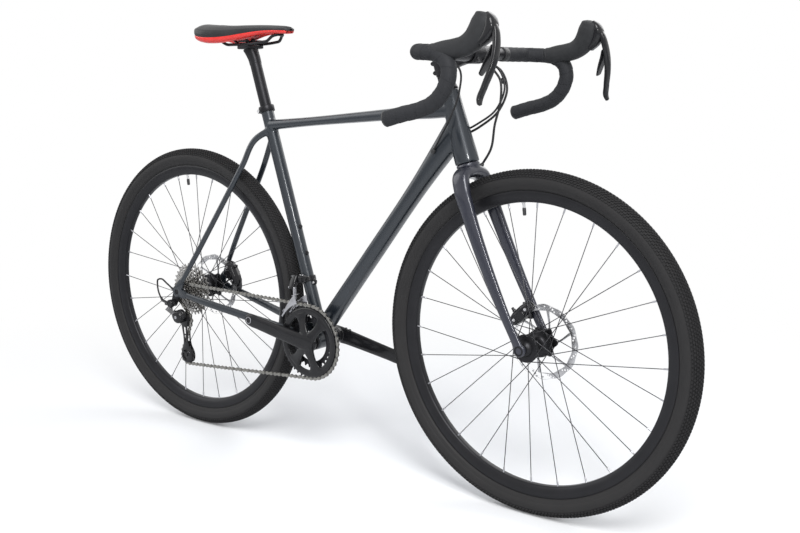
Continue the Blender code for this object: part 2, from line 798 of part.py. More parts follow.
TOP_TUBE_HEAD = 0.040
TOP_TUBE_SEAT = 0.044
DOWN_TUBE_HEAD = 0.080
DOWN_TUBE_LIFT = 0.013
DOWN_ANGLE = math.radians(52)
DROPOUT_THICKNESS = 0.006
DROPOUT_RADIUS = 0.0145
DROPOUT_TAB = 0.034
STAY_SIDES = 8
HANGER_BOLT = Vector((-0.512, 0, 0.330))
STEERER_RADIUS = 0.0143
STEERER_LOW_RADIUS = 0.0187
COLLAR_WALL = 0.0032
CUP_RADIUS = 0.0205
CUP_WIDTH = 0.0055


def head_form(grow=0.0):
    """Tapered head tube, solid for cutting its neighbours when grown."""
    return lathe([(0, -grow), (HEAD_LOW_RADIUS + grow, -grow), (HEAD_LOW_RADIUS + grow, 0.020),
                  (HEAD_TOP_RADIUS + grow, HEAD_TUBE - 0.030), (HEAD_TOP_RADIUS + grow, HEAD_TUBE + grow),
                  (0, HEAD_TUBE + grow)], HEAD_LOW, HEAD_UP, 16)


def head_tube():
    low, high = clear(STEERER_LOW_RADIUS, 16), clear(STEERER_RADIUS, 16)
    profile = [(low, 0), (HEAD_LOW_RADIUS, 0), (HEAD_LOW_RADIUS, 0.020), (HEAD_TOP_RADIUS, HEAD_TUBE - 0.030),
               (HEAD_TOP_RADIUS, HEAD_TUBE), (high, HEAD_TUBE), (high, 0.060)]
    return place("head_tube", lathe(profile, HEAD_LOW, HEAD_UP, 16), slate_paint())


def seat_form(grow):
    return rod(BB, SEAT_TOP, SEAT_TUBE_RADIUS + grow, SIDES)


def shell_form(grow):
    half = Y_AXIS * (SHELL_WIDTH / 2 + grow)
    return rod(BB - half, BB + half, SHELL_RADIUS + grow, 16)


def seat_tube():
    """Seat tube joined to the bottom bracket shell with its bearing cups."""
    bore = SEATPOST_RADIUS + GAP
    tube = lathe([(0, 0), (SEAT_TUBE_RADIUS, 0), (SEAT_TUBE_RADIUS, SEAT_TUBE), (bore, SEAT_TUBE),
                  (bore, 0.040), (0, 0.040)], BB, SEAT_UP, SIDES)
    half, reach = SHELL_WIDTH / 2, SHELL_WIDTH / 2 + CUP_WIDTH
    shell = lathe([(CUP_RADIUS, -reach), (CUP_RADIUS, -half), (SHELL_RADIUS, -half), (SHELL_RADIUS, half),
                   (CUP_RADIUS, half), (CUP_RADIUS, reach), (0, reach), (0, -reach)][:6]
                  + [(0.006, reach), (0.006, -reach)], BB, Y_AXIS, 16)
    spindle_bore = rod(BB - Y_AXIS * 0.06, BB + Y_AXIS * 0.06, clear(SPINDLE_RADIUS, 14), 14)
    joined = combine(shell, [tube])
    return place("seat_tube", combine(joined, [spindle_bore], "DIFFERENCE"), slate_paint())


def top_tube():
    """Flattened tube that slims from the head tube to the seat tube."""
    front = HEAD_LOW + HEAD_UP * (HEAD_TUBE - TOP_TUBE_HEAD)
    rear = BB + SEAT_UP * (SEAT_TUBE - TOP_TUBE_SEAT)
    path = [front.lerp(rear, share) for share in (0, 0.10, 0.22, 0.5, 0.8, 0.93, 1)]
    sizes = [(0.0190, 0.0165), (0.0200, 0.0165), (0.0195, 0.0140), (0.0175, 0.0115), (0.0155, 0.0105),
             (0.0150, 0.0115), (0.0148, 0.0120)]
    form = sweep(path, sizes, SIDES, power=2.6)
    return place("top_tube", combine(form, [head_form(GAP), seat_form(GAP)], "DIFFERENCE"), slate_paint())


def down_tube():
    front = HEAD_LOW + HEAD_UP * (HEAD_TUBE - DOWN_TUBE_HEAD)
    foot = BB + Vector((-math.sin(DOWN_ANGLE), 0, math.cos(DOWN_ANGLE))) * DOWN_TUBE_LIFT
    path = [front.lerp(foot, share) for share in (0, 0.10, 0.22, 0.6, 0.88, 1)]
    sizes = [(0.0200, 0.0290), (0.0205, 0.0240), (0.0195, 0.0195), (0.0190, 0.0182), (0.0215, 0.0180),
             (0.0225, 0.0175)]
    form = sweep(path, sizes, SIDES, power=2.5)
    cutters = [head_form(GAP), seat_form(GAP), shell_form(GAP)]
    return place("down_tube", combine(form, cutters, "DIFFERENCE"), slate_paint())


def stay_directions():
    up = (Vector((-0.262, 0, 0.733)) - REAR_AXLE).normalized()
    forward = (BB - REAR_AXLE).normalized()
    return up, forward


def dropout(side, grow=0.0):
    """Plate that takes the axle, with a tab for each stay."""
    up, forward = stay_directions()
    reach, half = DROPOUT_TAB + grow, 0.0085 + grow
    left = Vector((-up.z, 0, up.x))
    below = Vector((forward.z, 0, -forward.x))
    corners = [up * reach + left * half, up * reach - left * half, (up + forward).normalized() * 0.019,
               forward * reach - below * half, forward * reach + below * half]
    outline = [(corner.x, corner.z) for corner in corners]
    start = math.atan2(below.z, below.x) - 0.1
    stop = math.atan2(left.z, left.x) - 2 * math.pi + 0.1
    for index in range(7):
        angle = start + (stop - start) * index / 6
        outline.append(((DROPOUT_RADIUS + grow) * math.cos(angle), (DROPOUT_RADIUS + grow) * math.sin(angle)))
    inner = REAR_SPACING / 2 + GAP - grow
    outer = REAR_SPACING / 2 + GAP + DROPOUT_THICKNESS + grow
    holes = [] if grow else [circle(AXLE_RADIUS + GAP, 12)]
    low, high = (inner, outer) if side > 0 else (-outer, -inner)
    return plate(outline, holes, low, high, side_plane(REAR_AXLE))


def chainstay_path(side):
    _, forward = stay_directions()
    across = REAR_SPACING / 2 + GAP + DROPOUT_THICKNESS / 2
    end = REAR_AXLE + forward * (DROPOUT_TAB - 0.008)
    reach = (BB - end).length
    stations = ((0.0, 0.021), (0.05 / reach, 0.0310), (0.09 / reach, 0.0350), (0.13 / reach, 0.0400),
                (0.25 / reach, 0.0560), (0.35 / reach, 0.0700), (1.0, across))
    return [BB.lerp(end, share) + Y_AXIS * (side * wide) for share, wide in stations]


def chainstay_form(side, grow=0.0):
    sizes = [(0.0070, 0.0135), (0.0060, 0.0135), (0.0055, 0.0130), (0.0060, 0.0120), (0.0062, 0.0100),
             (0.0058, 0.0090), (0.0030, 0.0080)]
    grown = [(wide + grow, tall + grow) for wide, tall in sizes]
    return sweep(chainstay_path(side), grown, STAY_SIDES, power=2.4)


def chainstay(side):
    """Stay with its dropout; the right one carries the derailleur hanger."""
    name = "right_chainstay" if side < 0 else "left_chainstay"
    form = combine(chainstay_form(side), [shell_form(GAP)], "DIFFERENCE")
    pieces = [dropout(side)]
    joined = combine(form, pieces)
    if side < 0:
        reach = HANGER_BOLT - REAR_AXLE
        outline = capsule([(0, 0), (reach.x, reach.z)], (0.0125, 0.0095), 4)
        outer = -(REAR_SPACING / 2 + GAP + DROPOUT_THICKNESS - 0.0004)
        inner = -(REAR_SPACING / 2 + GAP + 0.0004)
        hanger = plate(outline, [circle(AXLE_RADIUS + GAP, 12)], outer, inner, side_plane(REAR_AXLE))
        joined = combine(joined, [hanger])
    return place(name, joined, slate_paint())


def seatstay(side):
    """Slim stay from the seat tube to the dropout's upper tab."""
    name = "right_seatstay" if side < 0 else "left_seatstay"
    up, _ = stay_directions()
    across = REAR_SPACING / 2 + GAP + DROPOUT_THICKNESS / 2
    foot = REAR_AXLE + up * (DROPOUT_TAB - 0.006) + Y_AXIS * across
    top = BB + SEAT_UP * (SEAT_TUBE - 0.056) + Y_AXIS * 0.008
    points = [top, Vector((-0.2540, 0.0270, 0.752)), Vector((-0.290, 0.0370, 0.690)),
              Vector((-0.370, 0.0500, 0.565)), Vector((-0.440, 0.0630, 0.455)), foot]
    path = [Vector((point.x, point.y * side, point.z)) for point in points]
    sizes = [(0.0080, 0.0085), (0.0068, 0.0080), (0.0062, 0.0078), (0.0060, 0.0075), (0.0058, 0.0075),
             (0.0036, 0.0075)]
    form = sweep(path, sizes, STAY_SIDES)
    return place(name, combine(form, [seat_form(GAP), dropout(side, GAP)], "DIFFERENCE"), slate_paint())


def seat_collar():
    inner, outer = SEAT_TUBE_RADIUS + GAP, SEAT_TUBE_RADIUS + GAP + COLLAR_WALL
    low = SEAT_TOP - SEAT_UP * 0.012
    form = sleeve(low, SEAT_TOP + SEAT_UP * 0.002, outer, inner, SIDES)
    rear = SEAT_UP.cross(Y_AXIS).normalized()
    if rear.x > 0:
        rear = -rear
    middle = SEAT_TOP - SEAT_UP * 0.005 + rear * (outer + 0.002)
    bolt = rod(middle - Y_AXIS * 0.009, middle + Y_AXIS * 0.009, 0.0045, 8)
    return place("seat_collar", combine(form, [bolt]), black_alloy())


def saddle_rail_point(share):
    return Vector((-0.225 - 0.110 * share, 0, 0.977 - 0.005 * share))


RAIL_RADIUS = 0.0035
RAIL_SPREAD = 0.0215
CLAMP_LENGTH = 0.036
CLAMP_SHARE = 0.62


def block(centre, along, across, up, length, wide, tall, power=4.0, rows=2):
    """A rounded bar from rings of a superellipse set along a line."""
    rings = []
    for index in range(rows):
        middle = centre + along * (length * (index / (rows - 1) - 0.5))
        rings.append(ring(middle, across, up, wide / 2, tall / 2, 8, power))
    return loft(rings)


def cuboid(centre, along, across, up, size):
    """A plain box set along three directions."""
    rings = []
    for end in (-0.5, 0.5):
        middle = centre + along * (size[0] * end)
        rings.append([middle + across * (size[1] * x) + up * (size[2] * y)
                      for x, y in ((-0.5, -0.5), (0.5, -0.5), (0.5, 0.5), (-0.5, 0.5))])
    return loft(rings)


def seatpost():
    """Post with its two-bolt head, cradle below the rails and plate above them."""
    low = SEAT_TOP - SEAT_UP * SEATPOST_INSERT
    shaft = rod(low, POST_TOP + SEAT_UP * 0.004, SEATPOST_RADIUS, SIDES)
    middle = saddle_rail_point(CLAMP_SHARE)
    along = (saddle_rail_point(0) - saddle_rail_point(1)).normalized()
    up = along.cross(-Y_AXIS).normalized()
    if up.z < 0:
        up = -up
    neck = taper(POST_TOP - SEAT_UP * 0.010, middle - up * 0.012, (SEATPOST_RADIUS, SEATPOST_RADIUS),
                 (0.0135, 0.0165), 3, SIDES)
    drop = RAIL_RADIUS + GAP
    cradle = cuboid(middle - up * (drop + 0.0045), along, Y_AXIS, up, (CLAMP_LENGTH, 0.052, 0.009))
    plate_top = cuboid(middle + up * (drop + 0.0025), along, Y_AXIS, up, (CLAMP_LENGTH * 0.8, 0.052, 0.005))
    bolts = []
    for shift in (-0.3, 0.3):
        seat = middle + along * (CLAMP_LENGTH * shift)
        bolts.append(rod(seat - up * 0.018, seat + up * (drop + 0.0085), 0.0033, 6))
    return place("seatpost", combine(shaft, [neck, cradle, plate_top, *bolts]), black_alloy(), SEAT_TOP)


SADDLE_STATIONS = (
    # along from the nose, half width, drop of the top line, depth of the sides
    (0.000, 0.009, 0.0150, 0.0060), (0.005, 0.0155, 0.0120, 0.0100), (0.018, 0.0190, 0.0095, 0.0130),
    (0.050, 0.0210, 0.0070, 0.0150), (0.090, 0.0260, 0.0055, 0.0190), (0.130, 0.0370, 0.0050, 0.0260),
    (0.165, 0.0520, 0.0050, 0.0330), (0.200, 0.0650, 0.0035, 0.0380), (0.230, 0.0700, 0.0015, 0.0390),
    (0.252, 0.0670, 0.0000, 0.0360), (0.267, 0.0540, 0.0010, 0.0300), (0.274, 0.0360, 0.0050, 0.0200))
SADDLE_NOSE = -0.1595
SHELL_HOLLOW = 0.70
RAIL_LIFT = 0.0008


def saddle_ring(station, shape):
    along, wide, lower, depth = station
    x = SADDLE_NOSE - along * SADDLE_LENGTH / 0.274
    return [Vector((x, wide * across, SADDLE_TOP - lower + high * depth + flat)) for across, high, flat in shape]


def saddle_cover():
    """Cushion with a crown, drawn-in sides and a shallow channel down the middle."""
    half = ((0.10, 0, -0.0022), (0.34, 0, 0), (0.62, -0.05, -0.001), (0.86, -0.22, -0.001), (1.0, -0.55, 0),
            (0.97, -0.88, 0), (0.86, -1.0, 0), (0.76, -0.55, -0.001))
    mirrored = tuple((-across, high, flat) for across, high, flat in reversed(half))
    shape = half + mirrored
    return place("saddle_cover", loft([saddle_ring(station, shape) for station in SADDLE_STATIONS]),
                 black_gloss())


def saddle_shell():
    """Stiff base inside the cover's edge, seen below it and hollow over the rails."""
    half = ((0.40, -0.55, -0.0016), (0.74, -0.55, -0.0016), (0.80, -0.90, -0.0016), (0.74, -1.0, -0.0035),
            (0.60, -1.0, -0.0035), (0.52, -SHELL_HOLLOW, -0.0030))
    mirrored = tuple((-across, high, flat) for across, high, flat in reversed(half))
    rings = [saddle_ring(station, half + mirrored) for station in SADDLE_STATIONS[1:-1]]
    return place("saddle_shell", loft(rings), red_shell())


def saddle_rails():
    """Two rails in one bent rod, closed at the nose."""
    def shell_under(along, share_of_depth):
        for first, second in zip(SADDLE_STATIONS, SADDLE_STATIONS[1:]):
            if first[0] <= along <= second[0]:
                share = (along - first[0]) / (second[0] - first[0])
                lower = first[2] + (second[2] - first[2]) * share
                depth = first[3] + (second[3] - first[3]) * share
                return SADDLE_TOP - lower - depth * share_of_depth - 0.0035
        return SADDLE_TOP
    nose_along, tail_along = 0.034, 0.215
    nose = SADDLE_NOSE - nose_along
    tail = SADDLE_NOSE - tail_along
    nose_z = shell_under(nose_along, 1.0) - RAIL_RADIUS + RAIL_LIFT
    tail_z = shell_under(tail_along, SHELL_HOLLOW) - RAIL_RADIUS + RAIL_LIFT
    first, last = saddle_rail_point(0), saddle_rail_point(1)
    points = [(nose, 0.0, nose_z), (nose - 0.001, 0.008, nose_z), (nose - 0.010, 0.0150, nose_z - 0.003),
              (first.x + 0.006, 0.0205, first.z + 0.0012), (first.x - 0.004, RAIL_SPREAD, first.z - 0.0002),
              (last.x + 0.004, RAIL_SPREAD, last.z + 0.0002), (last.x - 0.012, 0.0225, last.z + 0.0004),
              (tail, 0.0240, tail_z)]
    right = [Vector((x, -y, z)) for x, y, z in points]
    left = [Vector((x, y, z)) for x, y, z in points]
    path = smooth_path(list(reversed(right)) + left[1:], 26)
    return place("saddle_rails", sweep(path, [(RAIL_RADIUS, RAIL_RADIUS)] * len(path), 6, side_hint=Z_AXIS),
                 steel())


# Fork and steering

CROWN_REACH = math.sqrt(FORK_LENGTH**2 - RAKE**2)
FORK_TIP_THICKNESS = 0.010
STEM_CLAMP = 0.040
STEM_WALL = 0.0040
FACE_WIDTH = 0.042
TAPE_START = 0.105
HEADSET_COVER = 0.009


def fork_point(down, wide, forward):
    return CROWN_SEAT - HEAD_UP * down + Y_AXIS * wide + HEAD_FORWARD * forward


def fork_blade(side, grow=0.0):
    tip = FRONT_SPACING / 2 + GAP + FORK_TIP_THICKNESS / 2
    stations = ((0.014, 0.000, 0.0175, 0.0125), (0.017, 0.018, 0.0180, 0.0125), (0.027, 0.036, 0.0180, 0.0120),
                (0.052, 0.0450, 0.0180, 0.0110), (0.100, 0.0490, 0.0165, 0.0095), (0.200, 0.0525, 0.0140, 0.0080),
                (0.300, 0.0545, 0.0115, 0.0062), (0.365, tip, 0.0100, 0.0052), (CROWN_REACH, tip, 0.0105, 0.0049))
    path, sizes = [], []
    for down, wide, deep, thick in stations:
        path.append(fork_point(down, side * wide, RAKE * (down / CROWN_REACH) ** 1.7))
        sizes.append((deep + grow, thick + grow))
    return sweep(path, sizes, 8, side_hint=HEAD_FORWARD, power=2.3)


def steerer_top():
    return LOWER_STACK + HEAD_TUBE + STEM_HEIGHT + STEM_CLAMP / 2 - 0.002


def fork():
    """Steerer, crown and both blades in one piece, bored for the axle."""
    top = steerer_top()
    race = HEAD_LOW_RADIUS - 0.001
    steerer = lathe([(0, -0.012), (0.021, -0.012), (race, 0.001), (race, LOWER_STACK - GAP),
                     (STEERER_LOW_RADIUS, LOWER_STACK - GAP), (STEERER_RADIUS, 0.060), (STEERER_RADIUS, top),
                     (0, top)], CROWN_SEAT, HEAD_UP, 12)
    inner = FRONT_SPACING / 2 + GAP
    outer = inner + FORK_TIP_THICKNESS
    tips = [rod(FRONT_AXLE + Y_AXIS * (side * inner), FRONT_AXLE + Y_AXIS * (side * outer), 0.0130, 14)
            for side in (-1, 1)]
    joined = combine(steerer, [fork_blade(-1), fork_blade(1), *tips])
    bore = rod(FRONT_AXLE - Y_AXIS * 0.08, FRONT_AXLE + Y_AXIS * 0.08, AXLE_RADIUS + GAP, 12)
    return place("fork", combine(joined, [bore], "DIFFERENCE"), slate_paint(), HEAD_LOW)


def stem():
    """Steerer clamp on its cover and spacers, extension, and the bar clamp with its faceplate."""
    bore = clear(STEERER_RADIUS, 16)
    middle = HEAD_TOP + HEAD_UP * STEM_HEIGHT
    low, high = middle - HEAD_UP * (STEM_CLAMP / 2), middle + HEAD_UP * (STEM_CLAMP / 2)
    clamp = rod(low, high + HEAD_UP * 0.003, bore + STEM_WALL, 14)
    arm = taper(middle, BAR_CENTRE, (0.0160, 0.0160), (0.0170, 0.0150), 3, 10, power=2.6)
    half = Y_AXIS * (FACE_WIDTH / 2)
    spacers_top = STEM_HEIGHT - STEM_CLAMP / 2 + 0.002
    spacers = lathe([(0, GAP), (HEAD_TOP_RADIUS - 0.0005, GAP), (HEAD_TOP_RADIUS - 0.0005, 0.003),
                     (0.0178, HEADSET_COVER), (0.0172, spacers_top), (0, spacers_top)], HEAD_TOP, HEAD_UP, 14)
    barrel = rod(BAR_CENTRE - half, BAR_CENTRE + half, BAR_RADIUS + GAP * 3 + STEM_WALL, 14)
    joined = combine(clamp, [arm, barrel, spacers])
    steerer_hole = rod(HEAD_TOP - HEAD_UP * 0.01, high, bore, 16)
    bar_hole = rod(BAR_CENTRE - half * 2, BAR_CENTRE + half * 2, clear(BAR_RADIUS, 14), 14)
    bored = combine(joined, [steerer_hole, bar_hole], "DIFFERENCE")
    return place("stem", bored, black_alloy(), middle)


def bar_half(side):
    """Centre line of one side of the handlebar, from the stem to its end."""
    x, z = BAR_CENTRE.x, BAR_CENTRE.z
    points = ((x, 0.0, z), (x, 0.06, z), (x, TAPE_START, z), (x, 0.165, z), (x + 0.006, 0.197, z),
              (x + 0.030, 0.2085, z - 0.001), (x + 0.066, 0.213, z - 0.006), (x + 0.087, 0.2165, z - 0.021),
              (x + 0.0925, 0.219, z - 0.041), (x + 0.085, 0.2215, z - 0.068), (x + 0.063, 0.2235, z - 0.093),
              (x + 0.030, 0.226, z - 0.1075), (x - 0.003, 0.229, z - 0.115), (x - 0.041, 0.2326, z - 0.125))
    return [Vector((px, py * side, pz)) for px, py, pz in points]


def handlebar():
    radius = GRIP_CORE
    right = bar_half(-1)
    left = bar_half(1)
    middle = [BAR_CENTRE + Y_AXIS * y for y in (-0.085, -0.045, 0.0, 0.045, 0.085)]
    path = list(reversed(right[2:])) + middle + left[2:]
    sizes = [(radius, radius)] * len(right[2:])
    sizes += [(0.0125, 0.0125), (BAR_RADIUS, BAR_RADIUS), (BAR_RADIUS, BAR_RADIUS), (BAR_RADIUS, BAR_RADIUS),
              (0.0125, 0.0125)]
    sizes += [(radius, radius)] * len(left[2:])
    return place("handlebar", sweep(path, sizes, BAR_SIDES, side_hint=HINT_BAR), black_alloy(), BAR_CENTRE)


HINT_BAR = Vector((0.6, -0.6, 0.53)).normalized()
BAR_SIDES = 8


def tape_form(side, radius):
    path = bar_half(side)[2:]
    return loft(tube_rings(path, [radius] * len(path)))


def bar_tape(side):
    """Wrapped grip, open at its inner end and closed by its plug at the outer."""
    name = "right_bar_tape" if side < 0 else "left_bar_tape"
    path = bar_half(side)[2:]
    outward = (path[-1] - path[-2]).normalized()
    bore = [*path[:-1], path[-1] + outward * GAP]
    skin = [*path, path[-1] + outward * 0.004]
    inner = tube_rings(bore, [clear(GRIP_CORE, BAR_SIDES)] * len(bore))
    outer = tube_rings(skin, [GRIP_RADIUS] * len(path) + [GRIP_RADIUS * 0.8])
    return place(name, loft(list(reversed(inner)) + outer), black_rubber())


def tube_rings(path, radii):
    """Rings of the handlebar's own section round a path."""
    rings = []
    for index, point in enumerate(path):
        forward = (path[min(index + 1, len(path) - 1)] - path[max(index - 1, 0)]).normalized()
        up = forward.cross(HINT_BAR).normalized()
        across = up.cross(forward).normalized()
        rings.append(ring(point, across, up, radii[index], radii[index], BAR_SIDES))
    return rings


# Brake levers and hoods

LEVER_SLOT = (-0.0085, 0.0095)


def lever_pivot(side):
    return Vector((0.5225, side * 0.2030, 0.9880))


def lever_path(side):
    points = ((0.5225, 0.2030, 0.9880), (0.5272, 0.2040, 0.9810), (0.5320, 0.2075, 0.9630), (0.5345, 0.2145, 0.9380),
              (0.5310, 0.2245, 0.9080), (0.5240, 0.2345, 0.8790), (0.5205, 0.2430, 0.8560), (0.5225, 0.2455, 0.8500))
    return [Vector((x, y * side, z)) for x, y, z in points]


def brake_lever(side):
    name = "right_brake_lever" if side < 0 else "left_brake_lever"
    sizes = [(0.0034, 0.0040), (0.0055, 0.0042), (0.0070, 0.0046), (0.0080, 0.0042), (0.0078, 0.0040), (0.0072, 0.0040),
             (0.0062, 0.0038), (0.0040, 0.0030)]
    form = sweep(lever_path(side), sizes, 8, power=2.6)
    pivot = lever_pivot(side)
    low, high = sorted((LEVER_SLOT[0] * side, LEVER_SLOT[1] * side))
    pin = rod(pivot + Y_AXIS * (low + GAP), pivot + Y_AXIS * (high - GAP), 0.0032, 8)
    return place(name, combine(form, [pin]), black_gloss(), pivot)


def hood(side):
    """Rubber hood over the lever bracket, notched for the lever's swing."""
    name = "right_hood" if side < 0 else "left_hood"
    stations = (((0.3950, 0.2105, 0.9415), 0.0140, 0.0150), ((0.4200, 0.2100, 0.9470), 0.0165, 0.0185),
                ((0.4480, 0.2080, 0.9545), 0.0155, 0.0175), ((0.4750, 0.2050, 0.9640), 0.0150, 0.0170),
                ((0.4970, 0.2015, 0.9780), 0.0155, 0.0190), ((0.5080, 0.1985, 0.9960), 0.0145, 0.0175),
                ((0.5110, 0.1965, 1.0080), 0.0115, 0.0130), ((0.5115, 0.1955, 1.0150), 0.0060, 0.0065))
    path = [Vector((x, y * side, z)) for (x, y, z), _, _ in stations]
    form = sweep(path, [(wide, tall) for _, wide, tall in stations], 10, power=2.3)
    pivot = lever_pivot(side)
    notch = [(0.000, 0.006), (0.020, 0.004), (0.024, -0.050), (-0.026, -0.050), (-0.0055, 0.000)]
    low, high = sorted((LEVER_SLOT[0] * side, LEVER_SLOT[1] * side))
    wedge = plate(notch, [], pivot.y + low, pivot.y + high, side_plane(pivot))
    notched = combine(form, [wedge], "DIFFERENCE")
    return place(name, combine(notched, [tape_form(side, GRIP_RADIUS + GAP * 4)], "DIFFERENCE"), black_rubber())


def paddle_hinge(side):
    return Vector((0.5255, side * 0.2105, 0.9520))


def shift_paddle(side):
    name = "right_shift_paddle" if side < 0 else "left_shift_paddle"
    points = ((0.5275, 0.2112, 0.9500), (0.5230, 0.2150, 0.9360), (0.5150, 0.2195, 0.9180), (0.5085, 0.2245, 0.9040))
    path = [Vector((x, y * side, z)) for x, y, z in points]
    sizes = [(0.0050, 0.0011), (0.0085, 0.0013), (0.0100, 0.0013), (0.0075, 0.0011)]
    return place(name, sweep(path, sizes, 8, power=3.0), black_gloss(), paddle_hinge(side))


# Brakes

PAD_TRAVEL = 0.0005
PAD_THICKNESS = 0.0035


def caliper_frame(front):
    """Centre, tangent and radial directions of a caliper on its rotor, and the rotor's height."""
    if front:
        centre, axle = Vector((0.4480, 0, 0.4120)), FRONT_AXLE
        height = FRONT_SPACING / 2 - FRONT_ROTOR_INSET
    else:
        centre, axle = Vector((-0.4310, 0, 0.3960)), REAR_AXLE
        height = REAR_SPACING / 2 - ROTOR_INSET
    radial = (centre - axle).normalized()
    tangent_way = Vector((-radial.z, 0, radial.x))
    if tangent_way.z < 0:
        tangent_way = -tangent_way
    return centre, tangent_way, radial, height


def caliper(front, foot, neighbours):
    """Rounded housing over the rotor's edge, slotted for the rotor and its pads."""
    centre, along, radial, height = caliper_frame(front)
    middle = centre + Y_AXIS * height
    stations = ((-0.033, 0.012, 0.014), (-0.028, 0.026, 0.022), (-0.012, 0.031, 0.029), (0.012, 0.031, 0.029),
                (0.028, 0.026, 0.022), (0.033, 0.012, 0.014))
    rings = [ring(middle + along * reach, Y_AXIS, radial, wide / 2, tall / 2, 10, 3.0)
             for reach, wide, tall in stations]
    body = loft(rings)
    slot_half = ROTOR_THICKNESS / 2 + PAD_TRAVEL + 0.0002 + PAD_THICKNESS + 0.0004
    slot = cuboid(middle - radial * 0.006, along, Y_AXIS, radial, (0.026, slot_half * 2, 0.036))
    channel = cuboid(middle - radial * 0.011, along, Y_AXIS, radial, (0.090, 0.0040, 0.0445))
    whole = combine(combine(body, [foot]), neighbours, "DIFFERENCE")
    return combine(combine(whole, [slot], "DIFFERENCE"), [channel], "DIFFERENCE")


def pad(front, side):
    """Backed pad beside the rotor, just clear of it."""
    centre, along, radial, height = caliper_frame(front)
    inner = ROTOR_THICKNESS / 2 + PAD_TRAVEL + 0.0002
    middle = centre - radial * 0.0035 + Y_AXIS * (height + side * (inner + PAD_THICKNESS / 2))
    form = block(middle, along, Y_AXIS, radial, 0.024, PAD_THICKNESS, 0.020, 10)
    name = ("front" if front else "rear") + ("_inner_pad" if side < 0 else "_outer_pad")
    return place(name, form, black_alloy(), middle)


def front_caliper():
    centre, along, radial, height = caliper_frame(True)
    seat = centre + Vector((0.0080, height + 0.009, 0.006))
    foot = block(seat, Z_AXIS, Y_AXIS, X_AXIS, 0.034, 0.014, 0.024)
    return place("front_caliper", caliper(True, foot, [fork_blade(1, 0.0006)]), black_alloy())




def rear_caliper():
    centre, along, radial, height = caliper_frame(False)
    seat = centre + Vector((0.004, height + 0.006, -0.026))
    foot = block(seat, X_AXIS, Y_AXIS, Z_AXIS, 0.030, 0.014, 0.034)
    return place("rear_caliper", caliper(False, foot, [chainstay_form(1, 0.0006)]), black_alloy())


# Rear derailleur

SLANT_ALONG = Vector((0.92, 0, -0.39)).normalized()
SLANT_ACROSS = Vector((-0.237, 0.794, -0.559)).normalized()
SLANT_AXIS = SLANT_ALONG.cross(SLANT_ACROSS).normalized()
LINK_LENGTH = 0.0466
LINK_SWING = math.radians(60)
LINK_SPREAD = 0.011
LOWER_PIVOT = Vector((-0.5075, -0.0800, 0.3005))
PULLEY_BOLT = 0.0028
CAGE_INNER = 0.0045
CAGE_WALL = 0.0013


def link_way():
    return (SLANT_ALONG * math.cos(LINK_SWING / 2) - SLANT_ACROSS * math.sin(LINK_SWING / 2)).normalized()


UPPER_PIVOT = LOWER_PIVOT - link_way() * LINK_LENGTH


def link_pivots(end, which):
    base = UPPER_PIVOT if end == "upper" else LOWER_PIVOT
    return base + SLANT_ACROSS * (LINK_SPREAD / 2 * which)


def derailleur_link(name, which):
    """Bar with an eye at each end, turning on the knuckles' pins."""
    start, end = link_pivots("upper", which), link_pivots("lower", which)
    way = (end - start).normalized()
    across = SLANT_AXIS.cross(way).normalized()
    stations = ((-0.0042, 0.0018), (-0.0030, 0.0036), (0.0025, 0.0038), (0.0070, 0.0022),
                (LINK_LENGTH - 0.0070, 0.0022), (LINK_LENGTH - 0.0025, 0.0038), (LINK_LENGTH + 0.0030, 0.0036),
                (LINK_LENGTH + 0.0042, 0.0018))
    outline = [(reach, half) for reach, half in stations] + [(reach, -half) for reach, half in reversed(stations)]

    def spot(x, y, height):
        return start + way * x + across * y + SLANT_AXIS * height
    holes = [circle(0.0021, 8), circle(0.0021, 8, (LINK_LENGTH, 0))]
    return place(name, plate(outline, holes, -0.0055, 0.0055, spot), steel() if which < 0 else black_alloy(), start)


def knuckle_ear(end):
    """Plate above the links, with a pin down through each link's eye."""
    centre = (link_pivots(end, -1) + link_pivots(end, 1)) / 2
    lift = 0.0055 + GAP
    along = SLANT_AXIS.cross(SLANT_ACROSS).normalized()

    def spot(x, y, height):
        return centre + SLANT_ACROSS * x + along * y + SLANT_AXIS * height
    outline = capsule([(-LINK_SPREAD / 2, 0), (LINK_SPREAD / 2, 0)], (0.0040, 0.0040), 4)
    ear = plate(outline, [], lift, lift + 0.0028, spot)
    pins = []
    for which in (-1, 1):
        pivot = link_pivots(end, which)
        pins.append(rod(pivot - SLANT_AXIS * 0.0050, pivot + SLANT_AXIS * (lift + 0.0015), 0.0017, 8))
    return ear, pins, centre + SLANT_AXIS * lift


def upper_knuckle():
    ear, pins, top = knuckle_ear("upper")
    seat = top + SLANT_AXIS * 0.0062
    face = -(REAR_SPACING / 2 + GAP * 2 + DROPOUT_THICKNESS)
    bolt = HANGER_BOLT + Y_AXIS * face
    boss = rod(bolt, bolt - Y_AXIS * 0.0150, 0.0090, 12)
    path = smooth_path([bolt - Y_AXIS * 0.0080, bolt + Vector((-0.018, -0.0075, -0.003)),
                        seat + Vector((0.004, -0.010, 0.008)), seat], 7)
    arm = sweep(path, [(0.0050, 0.0055)] * 7, 8, side_hint=Z_AXIS, power=2.6)
    stop_start = bolt + Vector((-0.014, -0.0075, -0.001))
    stop = rod(stop_start, stop_start + Vector((-0.020, 0.0, 0.004)), 0.0036, 8)
    return place("rd_upper_knuckle", combine(boss, [arm, stop, ear, *pins]), black_alloy(), bolt)


